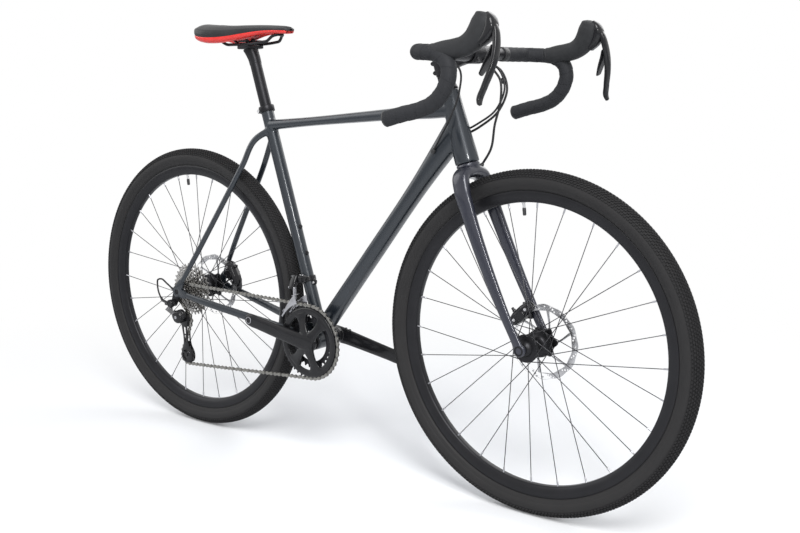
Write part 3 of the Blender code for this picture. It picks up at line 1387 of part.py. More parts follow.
def lower_knuckle():
    ear, pins, top = knuckle_ear("lower")
    seat = top + SLANT_AXIS * 0.0036
    low = Vector((CAGE_PIVOT.x, COG_Y - CAGE_INNER - CAGE_WALL - 0.0036, CAGE_PIVOT.z))
    housing = rod(low, low - Y_AXIS * 0.0170, 0.0088, 12)
    path = [low + Vector((0, -0.010, 0.002)), (low + seat) / 2 + Vector((0.002, -0.004, 0.004)), seat]
    arm = sweep(path, [(0.0040, 0.0045), (0.0040, 0.0040), (0.0038, 0.0030)], 8, side_hint=Z_AXIS)
    return place("rd_lower_knuckle", combine(housing, [arm, ear, *pins]), black_alloy(), LOWER_PIVOT)


def pulley_centres():
    guide = pulley_centre(GUIDE_REACH, GUIDE_ANGLE, 0)
    tension = pulley_centre(TENSION_REACH, TENSION_ANGLE, CAGE_TURN)
    return guide, tension


def cage():
    """Two plates joined by the pulley bolts, with the stub that turns in the lower knuckle."""
    guide, tension = pulley_centres()
    ends = [(guide.x - CAGE_PIVOT.x, guide.z - CAGE_PIVOT.z), (tension.x - CAGE_PIVOT.x, tension.z - CAGE_PIVOT.z)]
    plates = []
    for low, high in ((COG_Y - CAGE_INNER - CAGE_WALL, COG_Y - CAGE_INNER),
                      (COG_Y + CAGE_INNER, COG_Y + CAGE_INNER + CAGE_WALL)):
        mid = ((ends[0][0] + ends[1][0]) / 2, (ends[0][1] + ends[1][1]) / 2)
        slot = capsule([(mid[0] - 0.001, mid[1] + 0.020), (mid[0] + 0.001, mid[1] - 0.020)], (0.0035, 0.0035), 3)
        plates.append(plate(capsule(ends, (0.0115, 0.0095), 7), [slot], low, high, side_plane(CAGE_PIVOT)))
    bolts = []
    for centre in (guide, tension):
        bolts.append(rod(centre - Y_AXIS * (CAGE_INNER + CAGE_WALL + 0.0012),
                         centre + Y_AXIS * (CAGE_INNER + CAGE_WALL + 0.0010), PULLEY_BOLT, 8))
    stub_end = Vector((CAGE_PIVOT.x, COG_Y - CAGE_INNER - CAGE_WALL - 0.0036 + GAP, CAGE_PIVOT.z))
    stub = rod(stub_end, stub_end + Y_AXIS * (0.0036 + CAGE_WALL * 0.5), 0.0070, 10)
    return place("rd_cage", combine(plates[0], [plates[1], *bolts, stub]), black_alloy(), CAGE_PIVOT)


# Front derailleur

FD_HEIGHT = 0.145
FD_LINK_TOP = Vector((-0.1290, -0.0300, 0.4330))
FD_LINK_LOW = Vector((-0.1290, -0.0455, 0.4100))


def derailleur_clamp():
    """Band round the seat tube with the block that carries the link's pin."""
    centre = BB + SEAT_UP * FD_HEIGHT
    half = SEAT_UP * 0.006
    band = sleeve(centre - half, centre + half, SEAT_TUBE_RADIUS + 0.0030, SEAT_TUBE_RADIUS + GAP, SIDES)
    seat = Vector((-0.1120, -0.0255, 0.4300))
    body = block(seat, Y_AXIS, X_AXIS, Z_AXIS, 0.0190, 0.0120, 0.018)
    pin = rod(FD_LINK_TOP + X_AXIS * 0.0130, FD_LINK_TOP - X_AXIS * 0.0075, 0.0020, 8)
    return place("front_derailleur_clamp", combine(band, [body, pin]), black_alloy())


def eye_bar(start, end, half_length):
    """Bar between two eyes whose pins run along X."""
    way = (end - start).normalized()
    across = X_AXIS.cross(way).normalized()
    reach = (end - start).length

    def spot(x, y, height):
        return start + way * x + across * y + X_AXIS * height
    outline = capsule([(0, 0), (reach, 0)], (0.0042, 0.0042), 4)
    holes = [circle(0.0024, 8), circle(0.0024, 8, (reach, 0))]
    return plate(outline, holes, -half_length, half_length, spot)


def derailleur_swing_link():
    return place("fd_link", eye_bar(FD_LINK_TOP, FD_LINK_LOW, 0.0065), black_alloy(), FD_LINK_TOP)


def sector(low_radius, high_radius, start, stop, low, high, steps):
    """Part of a ring about the bottom bracket's axis."""
    rings = []
    for index in range(steps + 1):
        angle = start + (stop - start) * index / steps
        out = Vector((math.cos(angle), 0, math.sin(angle)))
        rings.append([BB + out * low_radius + Y_AXIS * low, BB + out * high_radius + Y_AXIS * low,
                      BB + out * high_radius + Y_AXIS * high, BB + out * low_radius + Y_AXIS * high])
    return loft(rings)


def derailleur_cage():
    """Curved plates either side of the chain, bridged above it."""
    tip = pitch_radius(OUTER_TEETH) + TOOTH_TIP
    low, high = tip + 0.0036, tip + 0.0270
    outer = sector(low, high, math.radians(93), math.radians(146), -0.0548, -0.0538, 6)
    inner = sector(low - 0.004, high, math.radians(97), math.radians(140), -0.0412, -0.0402, 6)
    bridge = sector(high - 0.0022, high, math.radians(108), math.radians(124), -0.0546, -0.0404, 2)
    tail = sector(high - 0.0022, high, math.radians(136), math.radians(139), -0.0546, -0.0404, 1)
    ear_low = BB.z + high * math.sin(math.radians(115)) - 0.002
    ear_seat = Vector((FD_LINK_LOW.x + 0.0094, FD_LINK_LOW.y, (ear_low + FD_LINK_LOW.z + 0.004) / 2))
    ear = block(ear_seat, Z_AXIS, Y_AXIS, X_AXIS, FD_LINK_LOW.z + 0.004 - ear_low, 0.0085, 0.0050)
    pin = rod(FD_LINK_LOW + X_AXIS * 0.0090, FD_LINK_LOW - X_AXIS * 0.0075, 0.0020, 8)
    return place("fd_cage", combine(outer, [inner, bridge, tail, ear, pin]), steel(), FD_LINK_LOW)


# Hoses and cables

HOSE_RADIUS = 0.0025
CABLE_RADIUS = 0.0021


def cord(name, points, radius, count):
    """A tube along a smooth curve through its route's own points."""
    curve = bpy.data.curves.new(name, "CURVE")
    curve.dimensions = "3D"
    curve.bevel_depth = radius
    curve.bevel_resolution = 2
    curve.render_resolution_u = 0
    curve.use_fill_caps = True
    spline = curve.splines.new("POLY")
    spots = smooth_path(points, count)
    spline.points.add(len(spots) - 1)
    for point, spot in zip(spline.points, spots):
        point.co = (*spot, 1)
    curve.materials.append(black_rubber())
    made = bpy.data.objects.new(name, curve)
    bpy.context.scene.collection.objects.link(made)
    return made


def front_hose():
    start = Vector((BAR_CENTRE.x + 0.003, 0.0560, BAR_CENTRE.z - BAR_RADIUS - HOSE_RADIUS - GAP))
    points = [start, Vector((0.3600, 0.0500, 0.9130)), Vector((0.3840, 0.0400, 0.8900)),
              Vector((0.3900, 0.0330, 0.8500)), Vector((0.3780, 0.0310, 0.8000)),
              Vector((0.3680, 0.0330, 0.7500)), fork_point(0.006, 0.0285, 0.0125)]
    return cord("front_brake_hose", points, HOSE_RADIUS, 20)


def cable_pair():
    """Rear brake hose and front shift cable, held together by a clip beside the head tube."""
    hose = [Vector((BAR_CENTRE.x - 0.004, 0.0700, BAR_CENTRE.z - BAR_RADIUS - HOSE_RADIUS - GAP)),
            Vector((0.3720, 0.0640, 0.9080)), Vector((0.3930, 0.0520, 0.8700)), Vector((0.3800, 0.0440, 0.8300)),
            Vector((0.3380, 0.0370, 0.7950)), Vector((0.2900, 0.0270, 0.7700))]
    cable = [point + Vector((-0.001, -0.0080, 0.003)) for point in hose[:4]]
    cable += [Vector((0.3360, 0.0305, 0.8010)), Vector((0.2920, 0.0235, 0.7790))]
    sizes = ((hose, HOSE_RADIUS), (cable, CABLE_RADIUS))
    forms = [sweep(smooth_path(points, 16), [(radius, radius)] * 16, 6, side_hint=Y_AXIS) for points, radius in sizes]
    middle = (smooth_path(hose, 16)[6] + smooth_path(cable, 16)[6]) / 2
    clip = block(middle, Vector((0.35, 0.3, 0.89)).normalized(), Y_AXIS, X_AXIS, 0.007, 0.0170, 0.0085)
    return place("rear_hose_and_cable", combine(clip, forms), black_rubber())


def right_cable():
    points = [Vector((BAR_CENTRE.x - 0.003, -0.0600, BAR_CENTRE.z - BAR_RADIUS - HOSE_RADIUS - GAP)),
              Vector((0.3500, -0.0560, 0.9100)), Vector((0.3450, -0.0500, 0.8700)),
              Vector((0.3200, -0.0420, 0.8200)), Vector((0.2850, -0.0300, 0.7750)), Vector((0.2610, -0.0222, 0.7440))]
    return cord("shift_cable", points, CABLE_RADIUS, 18)


def derailleur_loop():
    """Housing from the right dropout round to the rear derailleur."""
    face = -(REAR_SPACING / 2 + GAP + DROPOUT_THICKNESS / 2)
    start = Vector((REAR_AXLE.x - DROPOUT_RADIUS - GAP * 2, face, REAR_AXLE.z + 0.004))
    bolt = HANGER_BOLT + Y_AXIS * -(REAR_SPACING / 2 + GAP * 2 + DROPOUT_THICKNESS)
    end = bolt + Vector((-0.0343, -0.0075, 0.0031))
    points = [start, Vector((-0.545, face - 0.001, 0.374)), Vector((-0.576, face - 0.004, 0.3725)),
              Vector((-0.585, face - 0.007, 0.3520)), Vector((-0.570, end.y, 0.3370)), end]
    return cord("derailleur_cable", points, CABLE_RADIUS, 16)


def assemble():
    clear_scene()
    valve_turn = math.radians(96)
    rear_ends = (COG_Y + COG_STEP * (len(COGS) - 1) + 0.0012, REAR_SPACING / 2 - GAP * 4)
    front_ends = (-FRONT_SPACING / 2 + GAP * 4, FRONT_SPACING / 2 - GAP * 4)
    steering = hold("steering_axis", HEAD_LOW)
    front_hold = hold("front_wheel_axis", FRONT_AXLE)
    rear_hold = hold("rear_wheel_axis", REAR_AXLE)
    crank_hold = hold("crank_axis", BB)
    wheels = {}
    for prefix, axle, spacing, flanges, ends, inset in (
            ("front", FRONT_AXLE, FRONT_SPACING, FRONT_FLANGES, front_ends, FRONT_ROTOR_INSET),
            ("rear", REAR_AXLE, REAR_SPACING, REAR_FLANGES, rear_ends, ROTOR_INSET)):
        wheels[prefix] = [tyre(prefix + "_tyre", axle), rim(prefix + "_rim", axle, valve_turn),
                          hub(prefix + "_hub", axle, flanges, ends),
                          rotor(prefix + "_rotor", axle, spacing / 2 - inset)]
    attach(front_hold, *wheels["front"])
    attach(rear_hold, *wheels["rear"], cassette())
    attach(crank_hold, right_crank(), left_crank(), outer_chainring(), inner_chainring())
    chain()
    head_tube()
    seat_tube()
    top_tube()
    down_tube()
    for side in (-1, 1):
        chainstay(side)
        seatstay(side)
    seat_collar()
    rear_reach = REAR_SPACING / 2 + GAP * 2 + DROPOUT_THICKNESS
    through_axle("rear_axle", REAR_AXLE, -rear_reach + 0.001, rear_reach)
    rear_caliper()
    pad(False, -1)
    pad(False, 1)
    derailleur_clamp()
    attach(derailleur_swing_link(), derailleur_cage())
    upper_knuckle()
    knuckle = lower_knuckle()
    attach(derailleur_link("rd_outer_link", -1), knuckle)
    derailleur_link("rd_inner_link", 1)
    guide, tension = pulley_centres()
    swing = cage()
    attach(knuckle, swing)
    attach(swing, pulley("guide_pulley", guide, PHASES[2]), pulley("tension_pulley", tension, PHASES[1]))
    post = seatpost()
    attach(post, saddle_rails(), saddle_shell(), saddle_cover())
    front_reach = FRONT_SPACING / 2 + GAP * 2 + FORK_TIP_THICKNESS
    turning = [fork(), stem(), handlebar(),
               through_axle("front_axle", FRONT_AXLE, -front_reach + 0.001, front_reach),
               front_caliper(), pad(True, -1), pad(True, 1), front_hold]
    for side in (-1, 1):
        lever = brake_lever(side)
        attach(lever, shift_paddle(side))
        turning += [bar_tape(side), hood(side), lever]
    attach(steering, *turning)
    front_hose()
    cable_pair()
    right_cable()
    derailleur_loop()


assemble()
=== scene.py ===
# %% [markdown]
# # Looks of a cyclocross bike
#
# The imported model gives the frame: every solid is in metres, with its joints. This notebook lays
# finer surfaces over those solids. Each surface is a short piece of geometry worked out with arrays,
# and each piece rides on the body that carries it, so the bike still steers, rolls and shifts.

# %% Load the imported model
import math
import bpy
import numpy as np
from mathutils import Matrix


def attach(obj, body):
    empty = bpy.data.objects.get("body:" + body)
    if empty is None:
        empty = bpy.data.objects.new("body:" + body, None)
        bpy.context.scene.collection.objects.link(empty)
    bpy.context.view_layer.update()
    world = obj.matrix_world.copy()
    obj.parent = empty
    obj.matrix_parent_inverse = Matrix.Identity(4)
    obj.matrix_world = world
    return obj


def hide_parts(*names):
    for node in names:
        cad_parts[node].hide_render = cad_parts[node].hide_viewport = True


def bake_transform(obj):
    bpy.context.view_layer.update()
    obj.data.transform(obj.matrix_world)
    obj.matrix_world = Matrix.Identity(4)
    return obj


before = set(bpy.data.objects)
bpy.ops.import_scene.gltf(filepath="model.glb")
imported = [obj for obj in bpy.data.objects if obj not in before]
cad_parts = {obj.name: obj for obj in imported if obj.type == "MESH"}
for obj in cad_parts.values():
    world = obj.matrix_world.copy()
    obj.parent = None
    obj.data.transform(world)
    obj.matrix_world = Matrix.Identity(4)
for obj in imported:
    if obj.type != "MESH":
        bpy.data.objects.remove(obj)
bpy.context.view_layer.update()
print("CAD nodes:", len(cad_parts))

# %% [markdown]
# ## Camera
# The photograph was solved as a perspective view, so the camera stands where the photographer's did:
# about 37 degrees round from the side, looking slightly down.

# %% Camera
scene = bpy.context.scene
camera_data = bpy.data.cameras.new("camera")
camera_data.lens, camera_data.sensor_width = 48.36, 36
camera = bpy.data.objects.new("camera", camera_data)
camera.location = (1.5804, -1.8491, 0.8999)
camera.rotation_euler = (math.radians(79.92), 0, math.radians(37.60))
scene.collection.objects.link(camera)
scene.camera = camera
scene.view_settings.view_transform = "Standard"
print("camera lens:", camera_data.lens)

# %% [markdown]
# ## Sizes and places
# The solids were drawn from a few real sizes: wheelbase, wheel, tube angles. The same sizes are
# repeated here, and every place on the bike is worked out from them, in metres.

# %% Sizes and places
X, Y, Z = np.eye(3)


def unit(vectors):
    return np.asarray(vectors, float) / np.linalg.norm(vectors, axis=-1, keepdims=True)


def around(angle):
    """The direction in the wheels' plane at each angle from +X towards +Z."""
    return np.stack([np.cos(angle), np.zeros_like(angle, float), np.sin(angle)], -1)


def square_to(way, toward):
    """The direction in the middle plane square to a way, on the side of another direction."""
    across = np.cross(Y, way)
    return across * np.sign(across @ toward)


REAR, FRONT = np.array([-0.5, 0, 0.359]), np.array([0.5, 0, 0.359])
BRACKET = np.array([-0.0734511, 0, 0.2875])
SEAT_UP = around(math.pi - math.radians(72.4))
HEAD_UP = around(math.pi - math.radians(72))
HEAD_FORWARD = square_to(HEAD_UP, X)
FORK_OFFSET, HEAD_LENGTH = 0.047, 0.157
FORK_REACH = math.sqrt(0.394**2 - FORK_OFFSET**2)
CROWN = FRONT - HEAD_FORWARD * FORK_OFFSET + HEAD_UP * FORK_REACH
HEAD_LOW = CROWN + HEAD_UP * 0.004
HEAD_TOP = HEAD_LOW + HEAD_UP * HEAD_LENGTH
SEAT_TOP = BRACKET + SEAT_UP * 0.565
POST_TOP = SEAT_TOP + SEAT_UP * 0.125
STEM_SPOT = HEAD_TOP + HEAD_UP * 0.052
BAR = STEM_SPOT + HEAD_FORWARD * 0.080
PITCH = 0.0127
CHAINLINE, COG_Y = 0.0475, -0.0625
FACE = 0.071                    # inner face of the rear dropouts, from the middle plane
PLATE_Y = FACE + 0.0033         # middle of their plates
ROTOR_Y = {"front": 0.0395, "rear": 0.0555}
BARS = "steering_assembly"      # the body that steers

# %% [markdown]
# ## Forms
# A form is a dictionary of arrays: points, four-sided faces and three-sided faces. Small functions
# make one from a grid of points, carry a section along a path, or turn a profile about an axis.
# Whole arrays are computed at once. Places are in metres; the sizes of sections, profiles, pins and
# screws are in millimetres.

# %% Forms from grids
def form(points, quads=(), tris=()):
    return {"points": np.asarray(points, float).reshape(-1, 3),
            "quads": np.asarray(quads, int).reshape(-1, 4), "tris": np.asarray(tris, int).reshape(-1, 3)}


def merge(*forms):
    """One form from several, each one's face numbers moved past the points before it."""
    starts = np.cumsum([0] + [len(f["points"]) for f in forms[:-1]])
    return form(np.vstack([f["points"] for f in forms]),
                *[np.vstack([f[key] + s for f, s in zip(forms, starts)]) for key in ("quads", "tris")])


def full_turn(count):
    return np.linspace(0, 2 * np.pi, count, endpoint=False)


def sheet_of(grid, along=False):
    """Skin over rings (rows) of points; a fan closes each end, unless the last ring meets the first."""
    rows, columns = grid.shape[:2]
    index = np.arange(rows * columns).reshape(rows, columns)
    index = np.hstack([index, index[:, :1]])
    if along:
        index = np.vstack([index, index[:1]])
    quads = np.stack([index[:-1, :-1], index[:-1, 1:], index[1:, 1:], index[1:, :-1]], -1)
    points = grid.reshape(-1, 3)
    if along:
        return form(points, quads)
    hub, low, high = np.full(columns, rows * columns), index[0], index[-1]
    tris = np.vstack([np.stack([hub, low[1:], low[:-1]], -1), np.stack([hub + 1, high[:-1], high[1:]], -1)])
    return form(np.vstack([points, grid[0].mean(0), grid[-1].mean(0)]), quads, tris)


def through(table, count):
    """Catmull-Rom curve through the rows of a table, each column treated alike.

    Between two rows the value is a cubic whose slopes at the rows are those of the chord between
    the rows before and after, with the distance along the path as the parameter."""
    table = np.asarray(table, float)
    steps = np.linalg.norm(np.diff(table[:, :3], axis=0), axis=1)
    at = np.concatenate([[0], np.cumsum(np.maximum(steps, 1e-6))])
    slope = np.gradient(table, at, axis=0)
    goal = np.linspace(0, at[-1], count)
    cell = np.clip(np.searchsorted(at, goal, side="right") - 1, 0, len(at) - 2)
    width = (at[cell + 1] - at[cell])[:, None]
    t = (goal - at[cell])[:, None] / width
    return ((2 * t**3 - 3 * t**2 + 1) * table[cell] + (t**3 - 2 * t**2 + t) * width * slope[cell]
            + (3 * t**2 - 2 * t**3) * table[cell + 1] + (t**3 - t**2) * width * slope[cell + 1])


def tube(table, hint=Y, sides=32, count=64, power=2.0, smooth=True, round_ends=0.0):
    """A superellipse section carried along a path.

    A row of the table is a place, the half width along the hint and the half height. A point of the
    section is (cos a)^(2/power) of the width and (sin a)^(2/power) of the height, with their signs
    kept. Round ends reach past the path by an elliptical dome."""
    table = np.array([np.hstack([*row]) for row in table], float)
    rows = through(table, count) if smooth else table
    path, wide, tall = rows[:, :3], rows[:, 3:4] / 1000, rows[:, 4:] / 1000
    ahead = unit(np.gradient(path, axis=0))
    up = unit(np.cross(ahead, np.broadcast_to(hint, path.shape)))
    across = np.cross(up, ahead)
    if round_ends:
        reach = np.array([[0.98], [0.80], [0.50], [0.25]])
        ease, dome = np.sqrt(1 - reach**2), reach * round_ends / 1000
        path = np.vstack([path[0] - ahead[0] * dome, path, path[-1] + ahead[-1] * dome[::-1]])
        wide, tall, up, across = (np.pad(a, ((4, 4), (0, 0)), "edge") for a in (wide, tall, up, across))
        share = np.vstack([ease, np.ones((len(path) - 8, 1)), ease[::-1]])
        wide, tall = wide * share, tall * share
    angle = full_turn(sides)
    a, b = (np.sign(f) * np.abs(f) ** (2 / power) for f in (np.cos(angle), np.sin(angle)))
    return sheet_of(path[:, None] + across[:, None] * (wide * a)[..., None]
                    + up[:, None] * (tall * b)[..., None])


def cord_tube(points, radius, sides=14, count=90):
    """A round tube of one radius along a smooth curve."""
    return tube([(p, radius, radius) for p in points], unit((0.31, 0.83, 0.17)), sides, count)


def frame_of(axis):
    """An axis one unit long, and two directions square to it and to each other."""
    axis = unit(axis)
    first = unit(np.cross(axis, X if abs(axis[0]) < 0.8 else Z))
    return axis, first, np.cross(axis, first)


def turned(profile, centre, axis, steps=48, closed=False):
    """A profile of (radius, height) rows turned about an axis; it closes on itself or at its ends."""
    radius, height = (np.asarray(profile, float) / 1000).T[..., None, None]
    axis, first, second = frame_of(axis)
    angle = full_turn(steps)[:, None]
    spokes = first * np.cos(angle) + second * np.sin(angle)
    return sheet_of(np.asarray(centre) + axis * height + spokes * radius, closed)


def copies(one, turns, shifts):
    """A form repeated: each copy is turned by a 3x3 matrix and then shifted."""
    points = np.einsum("kij,nj->kni", turns, one["points"]) + shifts[:, None]
    step = np.arange(len(shifts))[:, None, None] * len(one["points"])
    return form(points, one["quads"] + step, one["tris"] + step)


def pin(start, end, radius, steps=20):
    """A short cylinder with softened rims."""
    run = np.subtract(end, start)
    long = np.linalg.norm(run) * 1000
    edge = min(radius, long) * 0.22
    rim = [(radius - edge, 0), (radius - edge * 0.3, edge * 0.3), (radius, edge)]
    return turned(rim + [(r, long - h) for r, h in rim[::-1]], start, run, steps)


def screw(seat, way, radius, height):
    """A cap screw: a round head with a six-sided socket sunk in it."""
    rim = [(0.94, 0), (1, 0.15), (1, 0.8), (0.9, 1), (0.55, 1), (0.50, 0.94)]
    outer = turned(np.multiply(rim, (radius, height)), seat, way, 24)
    outer["tris"] = outer["tris"][:24]
    way, first, second = frame_of(way)
    star = polar(radius / 1000, full_turn(6)) @ np.stack([first, second])
    well = [seat + way * height * h / 1000 + star * r for r, h in ((0.50, 0.96), (0.46, 0.35))]
    return merge(outer, sheet_of(np.array(well)[:, ::-1]))


# %% [markdown]
# Flat parts, such as rotors and sprockets, are outlines with holes. A flat curve fills and bevels them
# well, so the outlines go through one and come back as arrays.

# %% Plates
def polar(radius, angle):
    return np.asarray(radius)[..., None] * np.stack([np.cos(angle), np.sin(angle)], -1)


def ring_of(radius, count=48):
    return polar(radius, full_turn(count))


def capsule(first, last, first_radius, last_radius, count=14):
    """Outline round two circles joined by straight sides."""
    half = math.atan2(*np.subtract(last, first)[::-1]) + math.pi / 2 + np.linspace(0, np.pi, count)
    return np.vstack([first + polar(first_radius, half), last + polar(last_radius, half - math.pi)])


def window(inner, outer, start, stop, count=7):
    """A hole bounded by two arcs."""
    return np.vstack([polar(outer, np.linspace(start, stop, count)),
                      polar(inner, np.linspace(stop, start, count))])


def plate(outlines, thickness, centre, height, bevel=0.3):
    """A flat piece standing in the wheels' plane at a height along +Y, from closed outlines.

    An outline's own X and Y lie along +X and +Z from the centre."""
    bevel = min(bevel, thickness * 0.45) / 1000
    curve = bpy.data.curves.new("outline", "CURVE")
    curve.dimensions, curve.fill_mode, curve.bevel_resolution = "2D", "BOTH", 1
    curve.extrude, curve.bevel_depth, curve.offset = thickness / 2000 - bevel, bevel, -bevel
    for outline in outlines:
        spline = curve.splines.new("POLY")
        spline.points.add(len(outline) - 1)
        spline.points.foreach_set("co", np.hstack([outline, np.tile((0, 1), (len(outline), 1))]).ravel())
        spline.use_cyclic_u = True
    holder = bpy.data.objects.new("outline", curve)
    scene.collection.objects.link(holder)
    mesh = holder.evaluated_get(bpy.context.evaluated_depsgraph_get()).to_mesh()
    mesh.calc_loop_triangles()
    points, tris = np.zeros(len(mesh.vertices) * 3), np.zeros(len(mesh.loop_triangles) * 3, np.int32)
    mesh.vertices.foreach_get("co", points)
    mesh.loop_triangles.foreach_get("vertices", tris)
    bpy.data.objects.remove(holder)
    bpy.data.curves.remove(curve)
    points = points.reshape(-1, 3)
    _, first, inverse = np.unique(np.round(points, 7), axis=0, return_index=True, return_inverse=True)
    tris = inverse.ravel()[tris.reshape(-1, 3)]
    tris = tris[(tris != np.roll(tris, 1, axis=1)).all(axis=1)]
    return form(points[first] @ np.stack([X, Z, -Y]) + centre * (X + Z) + Y * height, tris=tris)


# %% [markdown]
# ## Pieces
# A form becomes an object once, at the origin, with its place in its mesh. It names the body it
# rides on and the plain solids it stands for. An edge sharper than the given angle is kept sharp.

# %% Making a piece
def piece(name, shape, finish, body, sharp=None, *replaces):
    mesh = bpy.data.meshes.new(name)
    points, quads, tris = shape["points"], shape["quads"], shape["tris"]
    mesh.vertices.add(len(points))
    mesh.vertices.foreach_set("co", points.astype(np.float32).ravel())
    mesh.loops.add(quads.size + tris.size)
    mesh.loops.foreach_set("vertex_index", np.concatenate([quads.ravel(), tris.ravel()]).astype(np.int32))
    mesh.polygons.add(len(quads) + len(tris))
    starts = np.concatenate([np.arange(len(quads)) * 4, quads.size + np.arange(len(tris)) * 3])
    mesh.polygons.foreach_set("loop_start", starts.astype(np.int32))
    mesh.update(calc_edges=True)
    mesh.validate()
    mesh.shade_smooth()
    if sharp:
        mesh.set_sharp_from_angle(angle=math.radians(sharp))
    made = bpy.data.objects.new(name, mesh)
    scene.collection.objects.link(made)
    made.data.materials.append(finish)
    if body:
        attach(made, body)
    for node in replaces:
        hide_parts(node)
    return made


def joined(name, shape, finish, body, voxel, rounds, *replaces):
    """Join overlapping forms into one skin, then relax it so that the joints turn into fillets."""
    made = piece(name, shape, finish, body, None, *replaces)
    remesh = made.modifiers.new("join", "REMESH")
    remesh.mode, remesh.voxel_size, remesh.use_smooth_shade = "VOXEL", voxel / 1000, True
    relax = made.modifiers.new("fillet", "SMOOTH")
    relax.factor, relax.iterations = 0.5, rounds


print("pieces are made from forms:", piece.__name__)

# %% [markdown]
# ## Finishes
# Each finish is one shader whose colour, roughness and bump come from a little arithmetic on
# procedural textures. A small class lets that arithmetic be written as plain expressions: adding two
# values adds a Math node. Object coordinates are used, since every piece lies at the origin.

# %% Shader arithmetic
class Value:
    """A socket that takes part in expressions; each operator adds a Math node."""

    def __init__(self, finish, socket):
        self.finish, self.socket = finish, socket

    def math(self, operation, *others):
        return self.finish.node("ShaderNodeMath", (self, *others), operation=operation)[0]

    def __add__(self, other):
        return self.math("ADD", other)

    def __sub__(self, other):
        return self.math("SUBTRACT", other)

    def __rsub__(self, other):
        return (self * -1) + other

    def __mul__(self, other):
        return self.math("MULTIPLY", other)

    def __pow__(self, other):
        return self.math("POWER", other)

    def sine(self):
        return self.math("SINE")

    def clamp(self):
        return self.math("MINIMUM", 1).math("MAXIMUM", 0)

    def between(self, low, high):
        """Smooth step from 0 at low to 1 at high."""
        return self.finish.node("ShaderNodeMapRange", {"Value": self, "From Min": low, "From Max": high},
                                interpolation_type="SMOOTHSTEP")[0]


class Finish:
    """A material under construction, with one method that adds any node."""

    def __init__(self, name, colour, roughness, metallic=0.0, coat=0.0, shine=0.5):
        self.made = bpy.data.materials.new(name)
        self.made.use_nodes = True
        self.tree = self.made.node_tree
        self.shader = self.tree.nodes["Principled BSDF"]
        values = {"Base Color": (*colour, 1), "Roughness": roughness, "Metallic": metallic,
                  "Specular IOR Level": shine, "Coat Weight": coat, "Coat Roughness": 0.12}
        for socket, value in values.items():
            self.shader.inputs[socket].default_value = value

    def node(self, kind, inputs=(), **settings):
        made = self.tree.nodes.new(kind)
        for key, value in settings.items():
            setattr(made, key, value)
        for key, value in inputs.items() if isinstance(inputs, dict) else enumerate(inputs):
            if isinstance(value, Value):
                self.tree.links.new(value.socket, made.inputs[key])
            else:
                made.inputs[key].default_value = value
        return [Value(self, socket) for socket in made.outputs]

    def spot(self):
        return self.node("ShaderNodeTexCoord")[3]

    def reach(self, axle):
        """Distance from an axle along Y."""
        x, _, z = self.node("ShaderNodeSeparateXYZ", (self.spot(),))[:3]
        return ((x - axle[0]) ** 2 + (z - axle[2]) ** 2) ** 0.5

    def noise(self, scale, detail=3.0, roughness=0.5, where=None):
        return self.node("ShaderNodeTexNoise", {"Vector": where or self.spot(), "Scale": scale,
                                                "Detail": detail, "Roughness": roughness})[0]

    def cells(self, scale):
        return self.node("ShaderNodeTexVoronoi", {"Vector": self.spot(), "Scale": scale})[0]

    def mix(self, share, first, second):
        return self.node("ShaderNodeMix", {0: share, 6: (*first, 1), 7: (*second, 1)}, data_type="RGBA")[2]

    def complete(self, base, rough, height, depth):
        """Set the varying colour, roughness and bump; the bump's depth is in millimetres."""
        bump = self.node("ShaderNodeBump", {"Height": height, "Distance": depth / 1000})[0]
        for value, name in ((base, "Base Color"), (rough, "Roughness"), (bump, "Normal")):
            self.tree.links.new(value.socket, self.shader.inputs[name])
        return self.made


def tint(colour, share):
    return [min(c * share, 1) for c in colour]


print("shader arithmetic ready:", Finish.__name__)

# %% [markdown]
# The frame's paint is a dark slate with a faint metallic fleck under a clear coat. Handling leaves it
# slightly less even than a new panel, so its roughness drifts a little.

# %% Painted and anodised metal
def slate_paint(name, colour):
    made = Finish(name, colour, 0.30, 0.30, coat=0.5, shine=0.4)
    fleck, drift = made.cells(2600).between(0.1, 0.5), made.noise(9, 4)
    base = made.mix((fleck * 0.35 + drift * 0.35).clamp(), tint(colour, 1.25), tint(colour, 0.80))
    return made.complete(base, drift * 0.10 + 0.26, made.noise(240, 2), 0.04)


def satin_alloy(name, colour, rough=0.38, metal=0.75, grain=900):
    made = Finish(name, colour, rough, metal, shine=0.3)
    grit, drift = made.noise(grain), made.noise(28)
    return made.complete(made.mix(drift, tint(colour, 0.85), tint(colour, 1.25)),
                         grit * 0.16 + drift * 0.10 + (rough - 0.12), grit, 0.04)


def gloss_black(name, colour=(0.0075, 0.0075, 0.0085)):
    made = Finish(name, colour, 0.24, coat=0.20, shine=0.18)
    drift = made.noise(40, 4)
    return made.complete(made.mix(drift, colour, tint(colour, 1.6)), drift * 0.10 + 0.15,
                         made.noise(420, 2), 0.02)


def brushed_metal(name, colour, axle=None, rough=0.30):
    """Fine lines run round the axle where one is given, and along X elsewhere."""
    made = Finish(name, colour, rough, 1.0)
    if axle is None:
        stretched = made.node("ShaderNodeMapping", {"Vector": made.spot(), "Scale": (0.5, 22, 22)})[0]
        line = made.noise(60, where=stretched)
    else:
        line = made.node("ShaderNodeTexNoise", {"W": made.reach(axle), "Scale": 2600.0, "Detail": 2.0},
                         noise_dimensions="1D")[0]
    drift = made.noise(30)
    return made.complete(made.mix((line * 0.6 + drift * 0.4).clamp(), tint(colour, 0.78), colour),
                         line * 0.18 + drift * 0.08 + (rough - 0.10), line, 0.05)


# %% [markdown]
# Rubber, tape and leather have no shine to speak of; their life is in a fine bump and in the slight
# greying of raised places, where hands and ground have rubbed.

